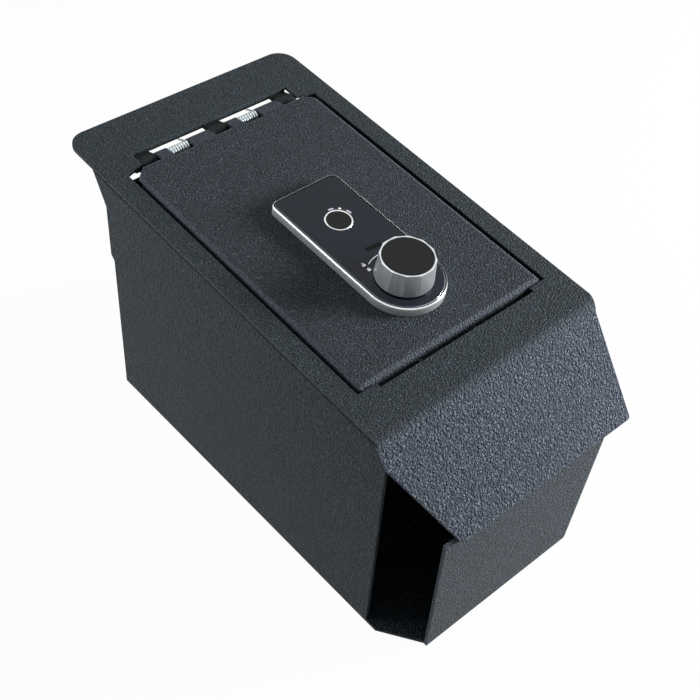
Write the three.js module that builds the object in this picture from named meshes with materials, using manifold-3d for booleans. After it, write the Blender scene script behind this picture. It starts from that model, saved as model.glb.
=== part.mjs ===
// Console safe for a vehicle's centre console: a folded steel box whose deck slopes up to the
// rear, with a knuckle-hinged lid, two torsion springs and a fingerprint lock with a turning knob.
// Millimetres, +Z up, X to the right along the hinge, -Y is the front with the sloping flap.
// The origin is at the middle of the footprint, on the surface that the safe stands on.
import * as THREE from 'three';
import { mergeVertices } from 'three/addons/utils/BufferGeometryUtils.js';
import Module from 'manifold-3d';

const wasm = await Module();
wasm.setup();

// Driving dimensions of the steel body
const bodyWidth = 165;
const bodyHeight = 152.1;         // floor underside to the deck's top at the opening's front edge
const sheet = 2;                  // thickness of the body's sheet
const seam = 0.3;                 // clearance left at a welded or seated joint
const deckSlope = 4.2;            // degrees, the deck rises to the rear
const foldSetback = 27.7;         // opening's front edge to the sharp line of the front fold
const foldRadius = 10;
const flapAngle = 48;             // degrees below the deck
const flapTaperStart = 16;        // below the fold line, on the left
const flapTaper = 24.5;           // degrees, left edge
const flapRightInset = 3.2;
const flapOverhang = 0.8;         // past the face of the front wall
const rightWallInset = 2;         // the deck stands over the right wall by this
const flapRightTaper = 0.9;       // degrees
const flapCorner = 2;
const rearLedge = 32.1;           // hinge slot's rear edge to the rear edge of the deck
const deckCorner = 12;
const frontWallSetback = 69.6;    // opening's front edge to the face of the front wall
const frontWallCut = 15.7;        // body's left edge to the front wall's free left edge
const cornerFootInset = 30.3;     // body's right edge to the front right corner, at the floor
const cornerLean = 6.35;          // degrees, that corner leans outward as it rises
const cornerTurn = 45;            // degrees between the front wall and its corner panel
const wallFold = 6;               // inside radius of that corner
const leftWallFront = 36;         // opening's front edge to the left wall's front edge
const rearWallOffset = 3;         // opening's rear edge to the rear wall's face
const rearWallShoulder = 12;      // at its sides the rear wall rises to the deck over this width
const wallEarWidth = 3;           // side walls stand past the rear wall by this above the ear step
const wallEarReach = 14;          // and by this where they meet the deck
const wallEarDrop = 20;
const earStepDepth = 49;          // below the deck, where the side walls draw in
const floorCornerSetback = 44;    // opening's front edge to the floor's cut front left corner

// Driving dimensions of the opening and the lid
const deckRim = 12.5;             // deck's side edge to the opening
const openingLength = 198.7;
const openingCornerWidth = 12;
const openingCornerLength = 4;
const reliefDepth = 3.1;          // finger relief along the opening's front edge
const reliefWidth = 114.8;
const slotLength = 14.8;          // opening's rear edge to the rear edge of the hinge slot
const lidSideGap = 2.4;
const lidFrontGap = 0.7;
const lidRearGap = 0.3;
const lidProud = 1.5;             // lid's top above the deck
const lidSheet = 2;
const lidFold = 3.5;              // outside radius of its folded edges
const lidSkirt = 14;              // overall height of the pan
const lidCorner = 2.5;
const lidRearCutWidth = 7.6;
const lidRearCutLength = 6.6;
const lidSkirtEnd = 10;           // side skirts stop short of the lid's rear edge

// Driving dimensions of the hinge
const hingeOffset = 6.7;          // opening's rear edge to the hinge axis
const hingeDrop = 4.2;            // axis below the deck's top
const pinDiameter = 3.4;
const boreClearance = 0.3;
const knuckleWidth = 11.2;
const knuckleGap = 0.8;
const hingeShift = -0.5;          // hinge pieces sit a little left of the middle
const knuckleWrap = 282;          // degrees of roll
const pinOverhang = 3.2;
const pinTail = 2.6;              // the pin is longer on the left by this
const leafDepth = 18;
const springWire = 1.4;
const springClear = 0.4;          // between the pin and the coil
const springTurns = 7;
const springTurnGap = 0.45;       // between its turns
const springStart = 15.4;         // first turn, from the middle of the body knuckle on its left
const springNotchGap = 0.35;      // between the spring and the ends of the lid's notch
const springNotchDepth = 1.5;
const springLegLength = 21;
const lidOpenAngle = 100;         // degrees

// Driving dimensions of the lock panel and knob
const knobSetback = 42.4;         // opening's front edge to the knob's axis
const panelWidth = 48;
const panelRear = 128.5;
const panelCorner = 5;
const panelHeight = 5.7;
const panelBevel = 1.1;
const panelRim = 1.2;
const panelBase = 1.5;
const glassInset = 0.05;          // glass below the rim's top
const glassBevel = 0.3;
const glassFit = 0.2;
const knobHeight = 15;
const knobLift = 0.5;
const knobBase = 33.5;
const knobTop = 32.4;
const knobFlat = 30.4;            // across the flats at the top
const knobSides = 12;
const knobFillet = 1.4;
const capDiameter = 27.8;
const capThickness = 1.4;
const capRecess = 0.3;
const cylinderDiameter = 16;
const cylinderLength = 8;
const spindleDiameter = 8;
const bushWall = 1.4;
const bushFlange = 0.8;
const sensorSetback = 96.1;
const sensorDiameter = 16.6;
const sensorRing = 1;
const sensorProud = 0.3;
const lightGap = 0.8;             // between the pad's ring and the light
const lightWidth = 1;
const portRadius = 26.7;          // cover of the emergency power port, round the knob's axis
const portWidth = 3;
const portArc = 22;               // degrees

// Driving dimensions of the lock under the lid
const knobTurn = 90;              // degrees from open to locked
const boltTravel = 10;
const crankThickness = 2.6;
const crankPin = 3;
const crankMargin = 3;
const boltThickness = 3.8;
const boltWidth = 48;
const boltLength = 46;
const tongueWidth = 15;
const tongueLength = 12;
const slotClearance = 0.5;
const guideSheet = 1.5;
const guideLip = 4;
const guideFoot = 6;
const guideLength = 44;
const strikeThickness = 2.6;
const strikeDepth = 12;
const coverMargin = 3.2;          // at each side of the guides or the cells
const coverStart = 11;
const coverLength = 138;
const coverDepth = 29;
const coverWall = 2;
const coverCorner = 4;
const coverEar = 9;               // ears at its rim for the cover's screws
const cellDiameter = 14.5;
const cellLength = 50.5;
const cellCount = 4;
const cellGap = 0.4;
const holderWall = 1.2;
const contactSpace = 3.5;         // battery contacts at each end of the cells
const doorThickness = 1.8;
const boardWidth = 60;
const boardLength = 48;
const boardThickness = 1.6;
const boardDrop = 4;
const motorDiameter = 12;
const motorLength = 26;
const screwHead = 5;
const screwHeadHeight = 1.6;
const screwShank = 2.6;

// Driving dimensions of the ledges, the mat and the mounting plugs
const ledgeSheet = 1.5;
const ledgeLip = 5.5;
const ledgeOffset = 1.2;          // opening's edge to the ledge's upright
const ledgeStart = 12;            // from the opening's front edge
const ledgeStop = 18.7;           // from the opening's rear edge
const bumperLength = 14;
const bumperWidth = 4;
const bumperHeight = 1.2;
const matThickness = 3;
const matMargin = 2;
const matFront = 30;              // behind the left wall's front edge
const plugHole = 9;
const plugHead = 14;
const plugHeadHeight = 1.2;
const plugInset = 27.5;           // from the deck's side edges
const plugFront = 54;             // behind the left wall's front edge
const plugRear = 53.7;            // before the rear wall's face

// Colours and finishes
const paint = (color, roughness, metalness) => new THREE.MeshStandardMaterial({ color, roughness, metalness });
const coatedSteel = () => paint(0x2b2f33, 0.6, 0.3);
const zincSteel = () => paint(0xd5d8da, 0.3, 0.9);
const chrome = () => paint(0xc9cdd1, 0.15, 1);
const darkGlass = () => paint(0x15181f, 0.08, 0);
const blackPlastic = () => paint(0x17181a, 0.5, 0);
const blackRubber = () => paint(0x101010, 0.85, 0);
const foam = () => paint(0x1c1c1e, 0.95, 0);
const brass = () => paint(0xb08d4a, 0.35, 0.9);
const boardGreen = () => paint(0x1f5a36, 0.5, 0.1);
const cellWrap = () => paint(0x30343a, 0.4, 0.3);
const lightLens = () => paint(0xdfe6ff, 0.3, 0);

const radians = THREE.MathUtils.degToRad;
const slope = radians(deckSlope);
const half = bodyWidth / 2;
const frontWallLeft = half - frontWallCut;
const cornerFoot = half - cornerFootInset;
const openingWidth = bodyWidth - 2 * deckRim;
const slotHalf = openingWidth / 2 - openingCornerWidth;
const hingeSlotEnd = openingLength + slotLength;
const hingeSetback = openingLength + hingeOffset;
const deckRear = hingeSlotEnd + rearLedge;
const rearWallBack = openingLength + rearWallOffset;
const knucklePitch = slotHalf - knuckleWidth / 2 - Math.abs(hingeShift) - seam;
const springMean = pinDiameter + springWire + 2 * springClear;
const springPitch = springWire + springTurnGap;
const springNotchStart = springStart - springWire / 2 - springNotchGap;
const springNotchWidth = springTurns * springPitch + springWire + 2 * springNotchGap;
const lightRadius = (sensorDiameter + lightWidth) / 2 + lightGap;

// Solids
const signedVolume = (positions, index) => {
  const a = new THREE.Vector3();
  const b = new THREE.Vector3();
  const c = new THREE.Vector3();
  let sum = 0;
  for (let i = 0; i < index.length; i += 3) {
    a.fromArray(positions, index[i] * 3);
    b.fromArray(positions, index[i + 1] * 3);
    c.fromArray(positions, index[i + 2] * 3);
    sum += a.dot(b.cross(c));
  }
  return sum;
};

const solid = (source) => {
  const bare = source.clone();
  bare.deleteAttribute('normal');
  bare.deleteAttribute('uv');
  const merged = mergeVertices(bare, 1e-4);
  const triVerts = Uint32Array.from(merged.index.array);
  const vertProperties = Float32Array.from(merged.attributes.position.array);
  if (signedVolume(vertProperties, triVerts) < 0) {
    for (let i = 0; i < triVerts.length; i += 3) {
      [triVerts[i], triVerts[i + 1]] = [triVerts[i + 1], triVerts[i]];
    }
  }
  return new wasm.Manifold(new wasm.Mesh({ numProp: 3, vertProperties, triVerts }));
};

const geometryOf = (body) => {
  const mesh = body.getMesh();
  const result = new THREE.BufferGeometry();
  result.setAttribute('position', new THREE.BufferAttribute(Float32Array.from(mesh.vertProperties), 3));
  result.setIndex(new THREE.BufferAttribute(Uint32Array.from(mesh.triVerts), 1));
  result.computeVertexNormals();
  return result;
};

const joined = (solids) => solids.reduce((sum, next) => sum.add(next));

// Outlines are lists of [u, v] points
const outline = (points) => new THREE.Shape(points.map(([u, v]) => new THREE.Vector2(u, v)));

const extruded = (points, depth) =>
  new THREE.ExtrudeGeometry(outline(points), { depth, bevelEnabled: false, steps: 1 });

const alongX = (points, x0, x1) => {
  const turn = new THREE.Matrix4().makeBasis(
    new THREE.Vector3(0, 1, 0), new THREE.Vector3(0, 0, 1), new THREE.Vector3(1, 0, 0));
  return solid(extruded(points, x1 - x0).applyMatrix4(turn).translate(x0, 0, 0));
};

const alongY = (points, y0, y1) => {
  const turn = new THREE.Matrix4().makeBasis(
    new THREE.Vector3(1, 0, 0), new THREE.Vector3(0, 0, 1), new THREE.Vector3(0, -1, 0));
  return solid(extruded(points, y1 - y0).applyMatrix4(turn).translate(0, y1, 0));
};

const alongZ = (points, z0, z1) => solid(extruded(points, z1 - z0).translate(0, 0, z0));

const block = (x0, x1, y0, y1, z0, z1) =>
  solid(new THREE.BoxGeometry(x1 - x0, y1 - y0, z1 - z0)
    .translate((x0 + x1) / 2, (y0 + y1) / 2, (z0 + z1) / 2));

// A profile of [radius, height] points turned round the Z axis
const turned = (profile, segments = 48) =>
  solid(new THREE.LatheGeometry(profile.map(([r, z]) => new THREE.Vector2(r, z)), segments)
    .rotateX(Math.PI / 2));

const disc = (radius, z0, z1, segments = 48) =>
  turned([[0, z0], [radius, z0], [radius, z1], [0, z1]], segments);

const sleeve = (inner, outer, z0, z1, segments = 48) =>
  turned([[inner, z0], [outer, z0], [outer, z1], [inner, z1], [inner, z0]], segments);

// Arc of points about a centre, in degrees
const arc = (u, v, radius, from, to, steps) =>
  Array.from({ length: steps + 1 }, (_, i) => {
    const angle = radians(from + ((to - from) * i) / steps);
    return [u + radius * Math.cos(angle), v + radius * Math.sin(angle)];
  });

// Rectangle with its corners rounded
const roundedRectangle = (u0, u1, v0, v1, radius, steps = 6) => [
  ...arc(u1 - radius, v0 + radius, radius, -90, 0, steps),
  ...arc(u1 - radius, v1 - radius, radius, 0, 90, steps),
  ...arc(u0 + radius, v1 - radius, radius, 90, 180, steps),
  ...arc(u0 + radius, v0 + radius, radius, 180, 270, steps),
];

// One face of a folded sheet: an open run of straight lines, moved to its left by an offset,
// with a round bend at each inner corner. radius is the bend's radius at offset zero.
const foldedFace = (corners, offset, radius, steps = 8) => {
  const points = corners.map(([u, v]) => new THREE.Vector2(u, v));
  const heading = (i) => points[i + 1].clone().sub(points[i]).normalize();
  const left = (direction) => new THREE.Vector2(-direction.y, direction.x);
  const face = [];
  points.forEach((point, i) => {
    if (i === 0 || i === points.length - 1) {
      const along = heading(i === 0 ? 0 : i - 1);
      face.push(point.clone().addScaledVector(left(along), offset).toArray());
      return;
    }
    const before = heading(i - 1);
    const after = heading(i);
    const turn = Math.atan2(before.cross(after), before.dot(after));
    const side = Math.sign(turn);
    const setback = radius * Math.tan(Math.abs(turn) / 2);
    const centre = point.clone().addScaledVector(before, -setback).addScaledVector(left(before), side * radius);
    const reach = radius - side * offset;
    const start = Math.atan2(-side * left(before).y, -side * left(before).x);
    for (let k = 0; k <= steps; k += 1) {
      const angle = start + (turn * k) / steps;
      face.push([centre.x + reach * Math.cos(angle), centre.y + reach * Math.sin(angle)]);
    }
  });
  return face;
};

// Closed outline of a folded sheet between two offsets of the same run
const foldedSheet = (corners, from, to, radius) => [
  ...foldedFace(corners, from, radius),
  ...foldedFace(corners, to, radius).reverse(),
];

const part = new THREE.Group();
const body = new THREE.Group();
const deck = new THREE.Group();
body.add(deck);
part.add(body);
deck.rotation.x = slope;

const place = (group, name, form, material) => {
  const mesh = new THREE.Mesh(form.isBufferGeometry ? form : geometryOf(form), material);
  mesh.name = name;
  group.add(mesh);
  return mesh;
};

// Copies of one piece, numbered from 1
const placeEach = (group, name, form, places, material) =>
  places.forEach(([x, y], i) => place(group, `${name}_${i + 1}`, form.translate(x, y, 0), material));

// The deck's frame lies on its top face at the opening's front edge; the body's frame has the
// same origin and stands upright. Both are turned into each other about X.
const upright = (v, h) => [v * Math.cos(slope) - h * Math.sin(slope), v * Math.sin(slope) + h * Math.cos(slope)];
const uprightSolid = (form) => form.transform(new THREE.Matrix4().makeRotationX(slope).toArray());

// Top sheet: deck, front flap and rear ledge in one folded piece. The flap ends where its inner
// face passes the face of the front wall.
const flapPitch = radians(flapAngle);
const foldLine = -foldSetback;
const frontFace = -frontWallSetback;
const flapLength = (Math.cos(slope) * foldLine + sheet * Math.sin(flapPitch + slope) - frontFace + flapOverhang)
  / Math.cos(flapPitch + slope);
const topRun = [
  [foldLine - flapLength * Math.cos(flapPitch), -flapLength * Math.sin(flapPitch)],
  [foldLine, 0],
  [deckRear, 0],
];

const openingOutline = [
  [-openingWidth / 2, 0],
  [-reliefWidth / 2, 0],
  [-reliefWidth / 2, -reliefDepth],
  [reliefWidth / 2, -reliefDepth],
  [reliefWidth / 2, 0],
  [openingWidth / 2, 0],
  [openingWidth / 2, openingLength],
  [slotHalf, openingLength + openingCornerLength],
  [slotHalf, hingeSlotEnd],
  [-slotHalf, hingeSlotEnd],
  [-slotHalf, openingLength + openingCornerLength],
  [-openingWidth / 2, openingLength],
];

const deckCornerCut = (side) => {
  const reach = deckCorner + sheet;
  const points = [
    ...arc(half - deckCorner, deckRear - deckCorner, deckCorner, 0, 90, 8),
    [half - deckCorner, deckRear + reach],
    [half + reach, deckRear + reach],
    [half + reach, deckRear - deckCorner],
  ];
  return alongZ(points.map(([x, y]) => [side * x, y]), -2 * sheet, sheet);
};

// Cuts in the flap's own plane: u to the right, v down the flap from the fold line
const flapCut = (points) => {
  const down = new THREE.Vector3(0, -Math.cos(flapPitch), -Math.sin(flapPitch));
  const right = new THREE.Vector3(1, 0, 0);
  const out = new THREE.Vector3().crossVectors(right, down);
  const place3 = new THREE.Matrix4().makeBasis(right, down, out).setPosition(0, foldLine, 0);
  return solid(extruded(points, 6 * sheet).translate(0, 0, -3 * sheet).applyMatrix4(place3));
};
const flapLeftEdge = (v) => -half + Math.max(0, v - flapTaperStart) * Math.tan(radians(flapTaper));
const flapRightEdge = (v) => half - flapRightInset - v * Math.tan(radians(flapRightTaper));
const flapEnd = flapLength + flapCorner;
const flapSide = half + flapCorner;
const flapLeftCut = [
  [-flapSide, flapTaperStart],
  [-half, flapTaperStart],
  [flapLeftEdge(flapLength - flapCorner), flapLength - flapCorner],
  [flapLeftEdge(flapLength) + flapCorner / 4, flapLength - flapCorner / 4],
  [flapLeftEdge(flapLength) + flapCorner, flapLength],
  [flapLeftEdge(flapLength) + flapCorner, flapEnd],
  [-flapSide, flapEnd],
];
const flapRightCut = [
  [flapSide, -flapRightInset],
  [half, -flapRightInset],
  [half - flapRightInset / 2, flapRightInset / 2],
  [flapRightEdge(2 * flapRightInset), 2 * flapRightInset],
  [flapRightEdge(flapLength - flapCorner), flapLength - flapCorner],
  [flapRightEdge(flapLength) - flapCorner / 4, flapLength - flapCorner / 4],
  [flapRightEdge(flapLength) - flapCorner, flapLength],
  [flapRightEdge(flapLength) - flapCorner, flapEnd],
  [flapSide, flapEnd],
];
const topSheet = alongX(foldedSheet(topRun, 0, -sheet, foldRadius), -half, half)
  .subtract(alongZ(openingOutline, -2 * sheet, sheet))
  .subtract(deckCornerCut(1))
  .subtract(deckCornerCut(-1))
  .subtract(flapCut(flapLeftCut))
  .subtract(flapCut(flapRightCut));
place(deck, 'top_sheet', topSheet, coatedSteel());

// Everything that stands under the top sheet is trimmed along its underside
const roofHeight = bodyHeight;
const roofFace = foldedFace(topRun, -sheet - seam, foldRadius);
const roofEnd = roofFace[roofFace.length - 1];
const roofFoot = roofFace[0];
const roofReach = bodyHeight / 2;
const roof = uprightSolid(alongX([
  [roofFoot[0] - roofReach * Math.cos(flapPitch), roofFoot[1] - roofReach * Math.sin(flapPitch)],
  ...roofFace,
  [roofEnd[0] + roofReach, roofEnd[1]],
  [roofEnd[0] + roofReach, roofHeight],
  [roofFoot[0] - roofReach, roofHeight],
], -bodyWidth, bodyWidth));

// Side walls, with an ear at the top that carries the rear of the deck
const floorBottom = -bodyHeight;
const wallTop = deckRear * Math.sin(slope) + sheet;
const earTop = upright(rearWallBack + wallEarReach, -sheet)[1];
const wallRear = [
  [rearWallBack, floorBottom],
  [rearWallBack, -earStepDepth + wallEarWidth],
  [rearWallBack + wallEarWidth, -earStepDepth + 2 * wallEarWidth],
  [rearWallBack + wallEarWidth, earTop - wallEarDrop],
  [rearWallBack + wallEarReach, earTop],
  [rearWallBack + wallEarReach, wallTop],
];
const leftWall = alongX([[-leftWallFront, floorBottom], ...wallRear, [-leftWallFront, wallTop]],
  -half, -half + sheet).subtract(roof);
place(body, 'left_wall', leftWall, coatedSteel());

// The front right corner leans: its sharp line is further out the higher it is
const lean = Math.tan(radians(cornerLean));
const turn = Math.tan(radians(cornerTurn));
const cornerLine = (z) => cornerFoot + (z - floorBottom) * lean;
const panelTopLevel = -foldSetback;

// Solid between two outlines of as many points, one at the floor and one above it
const lofted = (floorPoints, z0, topPoints, z1) => {
  const clockwise = THREE.ShapeUtils.isClockWise(floorPoints.map(([x, y]) => new THREE.Vector2(x, y)));
  const low = clockwise ? floorPoints.toReversed() : floorPoints;
  const high = clockwise ? topPoints.toReversed() : topPoints;
  const flat = THREE.ShapeUtils.triangulateShape(low.map(([x, y]) => new THREE.Vector2(x, y)), []);
  const count = low.length;
  const positions = [...low.map(([x, y]) => [x, y, z0]), ...high.map(([x, y]) => [x, y, z1])].flat();
  const index = [];
  flat.forEach(([a, b, c]) => index.push(a, c, b, a + count, b + count, c + count));
  for (let i = 0; i < count; i += 1) {
    const j = (i + 1) % count;
    index.push(i, j, j + count, i, j + count, i + count);
  }
  const form = new THREE.BufferGeometry();
  form.setAttribute('position', new THREE.Float32BufferAttribute(positions, 3));
  form.setIndex(index);
  return solid(form);
};

const frontRun = (z, end) => [
  [-frontWallLeft, frontFace],
  [cornerLine(z), frontFace],
  [end, frontFace + (end - cornerLine(z)) * turn],
];
const rightFace = half - rightWallInset;
const cornerEnd = rightFace - sheet - seam;
const frontRadius = wallFold + sheet;
const frontOutline = (z) => foldedSheet(frontRun(z, cornerEnd), 0, sheet, frontRadius);
const cornerEndCut = block(cornerEnd, half + sheet, frontFace, 0, floorBottom, panelTopLevel);
const frontWall = lofted(frontOutline(floorBottom), floorBottom, frontOutline(panelTopLevel), panelTopLevel)
  .subtract(cornerEndCut)
  .subtract(roof);
place(body, 'front_wall', frontWall, coatedSteel());

const beyondCorner = (z) => [
  [cornerLine(z) - sheet, frontFace - sheet * turn],
  [half + sheet, frontFace + (half + sheet - cornerLine(z)) * turn],
  [half + 2 * sheet, frontFace - sheet],
];
const rightWall = alongX([[frontFace, floorBottom], ...wallRear, [frontFace, wallTop]], rightFace - sheet, rightFace)
  .subtract(lofted(beyondCorner(floorBottom - sheet), floorBottom - sheet, beyondCorner(wallTop + sheet), wallTop + sheet))
  .subtract(roof);
place(body, 'right_wall', rightWall, coatedSteel());

// Rear wall: it ends under the hinge knuckles, so the slot behind the lid is open to the air, and
// rises to the deck at both sides
const boreRadius = pinDiameter / 2 + boreClearance;
const knuckleRadius = boreRadius + lidSheet;
const leftInside = -half + sheet + seam;
const hingeAxis = [hingeSetback, -hingeDrop];
const knuckleFoot = upright(hingeSetback, -hingeDrop - knuckleRadius)[1];
const shoulderTop = upright(rearWallBack - sheet, -sheet - seam)[1];
place(body, 'rear_wall', joined([
  block(leftInside, cornerEnd, rearWallBack - sheet, rearWallBack, floorBottom, knuckleFoot),
  block(leftInside, leftInside + rearWallShoulder, rearWallBack - sheet, rearWallBack, floorBottom, shoulderTop),
  block(cornerEnd - rearWallShoulder, cornerEnd, rearWallBack - sheet, rearWallBack, floorBottom, shoulderTop),
]), coatedSteel());

// Floor, with its front left corner cut back and four mounting holes
const floorTop = floorBottom + sheet;
const floorRun = foldedFace(frontRun(floorBottom, cornerEnd), sheet + seam, frontRadius);
const floorOutline = [
  [-half, -floorCornerSetback],
  ...floorRun,
  [cornerEnd, rearWallBack - sheet - seam],
  [leftInside, rearWallBack - sheet - seam],
  [leftInside, -leftWallFront - seam],
  [-half, -leftWallFront - seam],
];
const plugPlaces = [-1, 1].flatMap((side) => [plugFront - leftWallFront, rearWallBack - plugRear]
  .map((y) => [side * (half - plugInset), y]));
const atPlugs = (form) => joined(plugPlaces.map(([x, y]) => form.translate(x, y, 0)));
place(body, 'floor_plate',
  alongZ(floorOutline, floorBottom, floorTop)
    .subtract(atPlugs(disc(plugHole / 2, floorBottom - sheet, floorTop + sheet, 24))), coatedSteel());
placeEach(body, 'mounting_hole_plug', turned([
  [0, floorBottom],
  [plugHole / 2 - seam, floorBottom],
  [plugHole / 2 - seam, floorTop + seam],
  [plugHead / 2, floorTop + seam],
  [plugHead / 2 - plugHeadHeight, floorTop + seam + plugHeadHeight],
  [0, floorTop + seam + plugHeadHeight],
], 24), plugPlaces, blackRubber());

// Foam mat on the floor, with clearance holes over the plugs
const matOutline = roundedRectangle(leftInside + matMargin, cornerEnd - matMargin,
  -leftWallFront + matFront, rearWallBack - sheet - matMargin, panelCorner);
place(body, 'floor_mat',
  alongZ(matOutline, floorTop + seam, floorTop + seam + matThickness)
    .subtract(atPlugs(disc(plugHead / 2 + matMargin, floorBottom, floorTop + 2 * matThickness, 24))), foam());

// Rolled knuckle: the sheet runs to the ring along a tangent from `from`, wraps it and stops.
// side is 1 where the sheet comes from the front and -1 where it comes from the rear.
const rolledKnuckle = (tail, from, side) => {
  const [cy, ch] = hingeAxis;
  const away = Math.atan2(ch - from[1], side * (cy - from[0]));
  const distance = Math.hypot(cy - from[0], ch - from[1]);
  const tangent = away + Math.asin(knuckleRadius / distance);
  const start = THREE.MathUtils.radToDeg(tangent) + 90;
  const mirrored = ([u, v]) => [cy + side * u, ch + v];
  const outer = arc(0, 0, knuckleRadius, start, start - knuckleWrap, 20).map(mirrored);
  const inner = arc(0, 0, boreRadius, start, start - knuckleWrap, 20).map(mirrored);
  return [tail, from, ...outer, ...inner.reverse(), [from[0], from[1] - lidSheet], [tail[0], tail[1] - lidSheet]];
};

// Body side of the hinge: a leaf under the deck behind the slot, with three rolled knuckles
const leafTop = -sheet - seam;
const leafFront = hingeSlotEnd + seam;
const bodyKnuckles = [-1, 0, 1].map((i) => hingeShift + i * knucklePitch);
const bodyKnuckleOutline = rolledKnuckle([leafFront + lidSheet, leafTop], [hingeSetback + 6, leafTop], -1);
const hingeLeaf = joined([
  block(-slotHalf, slotHalf, leafFront, leafFront + leafDepth, leafTop - lidSheet, leafTop),
  ...bodyKnuckles.map((x) => alongX(bodyKnuckleOutline, x - knuckleWidth / 2, x + knuckleWidth / 2)),
]);
place(deck, 'hinge_leaf', hingeLeaf, coatedSteel());

const pinReach = knucklePitch + knuckleWidth / 2 + pinOverhang;
const pinRight = hingeShift + pinReach;
const pinLeft = hingeShift - pinReach - pinTail;
const hingePin = turned([
  [0, pinLeft],
  [pinDiameter / 2 - seam, pinLeft],
  [pinDiameter / 2, pinLeft + seam],
  [pinDiameter / 2, pinRight - seam],
  [pinDiameter / 2 - seam, pinRight],
  [0, pinRight],
], 24);
const acrossX = new THREE.Matrix4().makeRotationY(Math.PI / 2).setPosition(0, ...hingeAxis);
place(deck, 'hinge_pin', hingePin.transform(acrossX.toArray()), zincSteel());

// Lid: a pan folded down at the front and sides, with four rolled knuckles at the rear
const lidHalf = openingWidth / 2 - lidSideGap;
const lidFront = lidFrontGap;
const lidRear = openingLength - lidRearGap;
const lidTop = lidProud;
const lidUnder = lidTop - lidSheet;
const skirtFoot = lidTop - lidSkirt;
const panShape = (inset, foot) => {
  const side = lidHalf - inset;
  const top = lidTop - inset;
  const front = lidFront + inset;
  const radius = lidFold - inset;
  const across = alongY([
    [-side, foot],
    [side, foot],
    ...arc(side - radius, top - radius, radius, 0, 90, 6),
    ...arc(-side + radius, top - radius, radius, 90, 180, 6),
  ], front, lidRear);
  const along = alongX([
    [lidRear, top],
    ...arc(front + radius, top - radius, radius, 90, 180, 6),
    [front, foot],
    [lidRear, foot],
  ], -side, side);
  return across.intersect(along);
};
const lidPlan = [
  ...arc(-lidHalf + lidCorner, lidFront + lidCorner, lidCorner, 180, 270, 5),
  ...arc(lidHalf - lidCorner, lidFront + lidCorner, lidCorner, 270, 360, 5),
  [lidHalf, lidRear - lidRearCutLength],
  [lidHalf - lidRearCutWidth, lidRear],
  [-lidHalf + lidRearCutWidth, lidRear],
  [-lidHalf, lidRear - lidRearCutLength],
];
const spindleHole = spindleDiameter / 2 + bushWall + 2 * seam;
const sensorHole = sensorDiameter / 2 - 2 * sensorRing;
const tongueMiddle = boltWidth / 2 - tongueWidth / 2;
const boltTop = -sheet - seam - strikeThickness - slotClearance;
const boltFoot = boltTop - boltThickness;
const tongueSlots = joined([-1, 1].map((side) => block(
  side * tongueMiddle - tongueWidth / 2 - slotClearance, side * tongueMiddle + tongueWidth / 2 + slotClearance,
  lidFront - sheet, lidFront + 2 * sheet, boltFoot - slotClearance, boltTop + slotClearance)));

const hingeBays = [hingeShift - knucklePitch, hingeShift];
const lidTabs = hingeBays.flatMap((x) => [
  [x + knuckleWidth / 2 + knuckleGap, x + springNotchStart],
  [x + springNotchStart + springNotchWidth, x + knucklePitch - knuckleWidth / 2 - knuckleGap],
]);
const lidKnuckleOutline = rolledKnuckle([lidRear - lidSheet, lidTop], [lidRear, lidTop], 1);
const springNotches = joined(hingeBays.map((x) => block(
  x + springNotchStart, x + springNotchStart + springNotchWidth,
  lidRear - springNotchDepth, lidRear + sheet, lidUnder - sheet, lidTop + sheet)));
const lidPan = panShape(0, skirtFoot)
  .intersect(alongZ(lidPlan, skirtFoot - sheet, lidTop + sheet))
  .subtract(panShape(lidSheet, skirtFoot - sheet))
  .subtract(block(-half, half, lidRear - lidSkirtEnd, lidRear + sheet, skirtFoot - sheet, lidUnder))
  .subtract(disc(spindleHole, lidUnder - sheet, lidTop + sheet).translate(0, knobSetback, 0))
  .subtract(disc(sensorHole, lidUnder - sheet, lidTop + sheet).translate(0, sensorSetback, 0))
  .subtract(tongueSlots)
  .subtract(springNotches)
  .add(joined(lidTabs.map(([x0, x1]) => alongX(lidKnuckleOutline, x0, x1))));
place(deck, 'lid_pan', lidPan, coatedSteel());

// Torsion spring: one wire, from the leg under the lid, round the pin, to the leg under the leaf
const wireRadius = springWire / 2;
const coilRadius = springMean / 2;
const coilSides = 5;
const coilSteps = 8;
const springPath = (x0) => {
  const [cy, ch] = hingeAxis;
  const lidLevel = lidUnder - seam - wireRadius;
  const leafLevel = leafTop - lidSheet - seam - wireRadius;
  const lidEdge = lidRear - springNotchDepth;
  const tangentTo = (v, h, side) => {
    const direction = Math.atan2(h - ch, side * (v - cy));
    return direction + Math.acos(coilRadius / Math.hypot(v - cy, h - ch));
  };
  const enter = Math.PI - tangentTo(lidEdge, lidLevel, -1);
  const leave = tangentTo(leafFront, leafLevel, 1);
  const sweep = 2 * Math.PI * springTurns + (enter - leave);
  const steps = springTurns * coilSteps;
  const path = [
    new THREE.Vector3(x0, cy - springLegLength, lidLevel),
    new THREE.Vector3(x0, lidEdge, lidLevel),
  ];
  for (let i = 0; i <= steps; i += 1) {
    const angle = enter - (sweep * i) / steps;
    path.push(new THREE.Vector3(
      x0 + (springPitch * springTurns * i) / steps, cy + coilRadius * Math.cos(angle), ch + coilRadius * Math.sin(angle)));
  }
  const x1 = x0 + springPitch * springTurns;
  path.push(new THREE.Vector3(x1, leafFront, leafLevel));
  path.push(new THREE.Vector3(x1, cy + springLegLength, leafLevel));
  return path;
};

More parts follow.
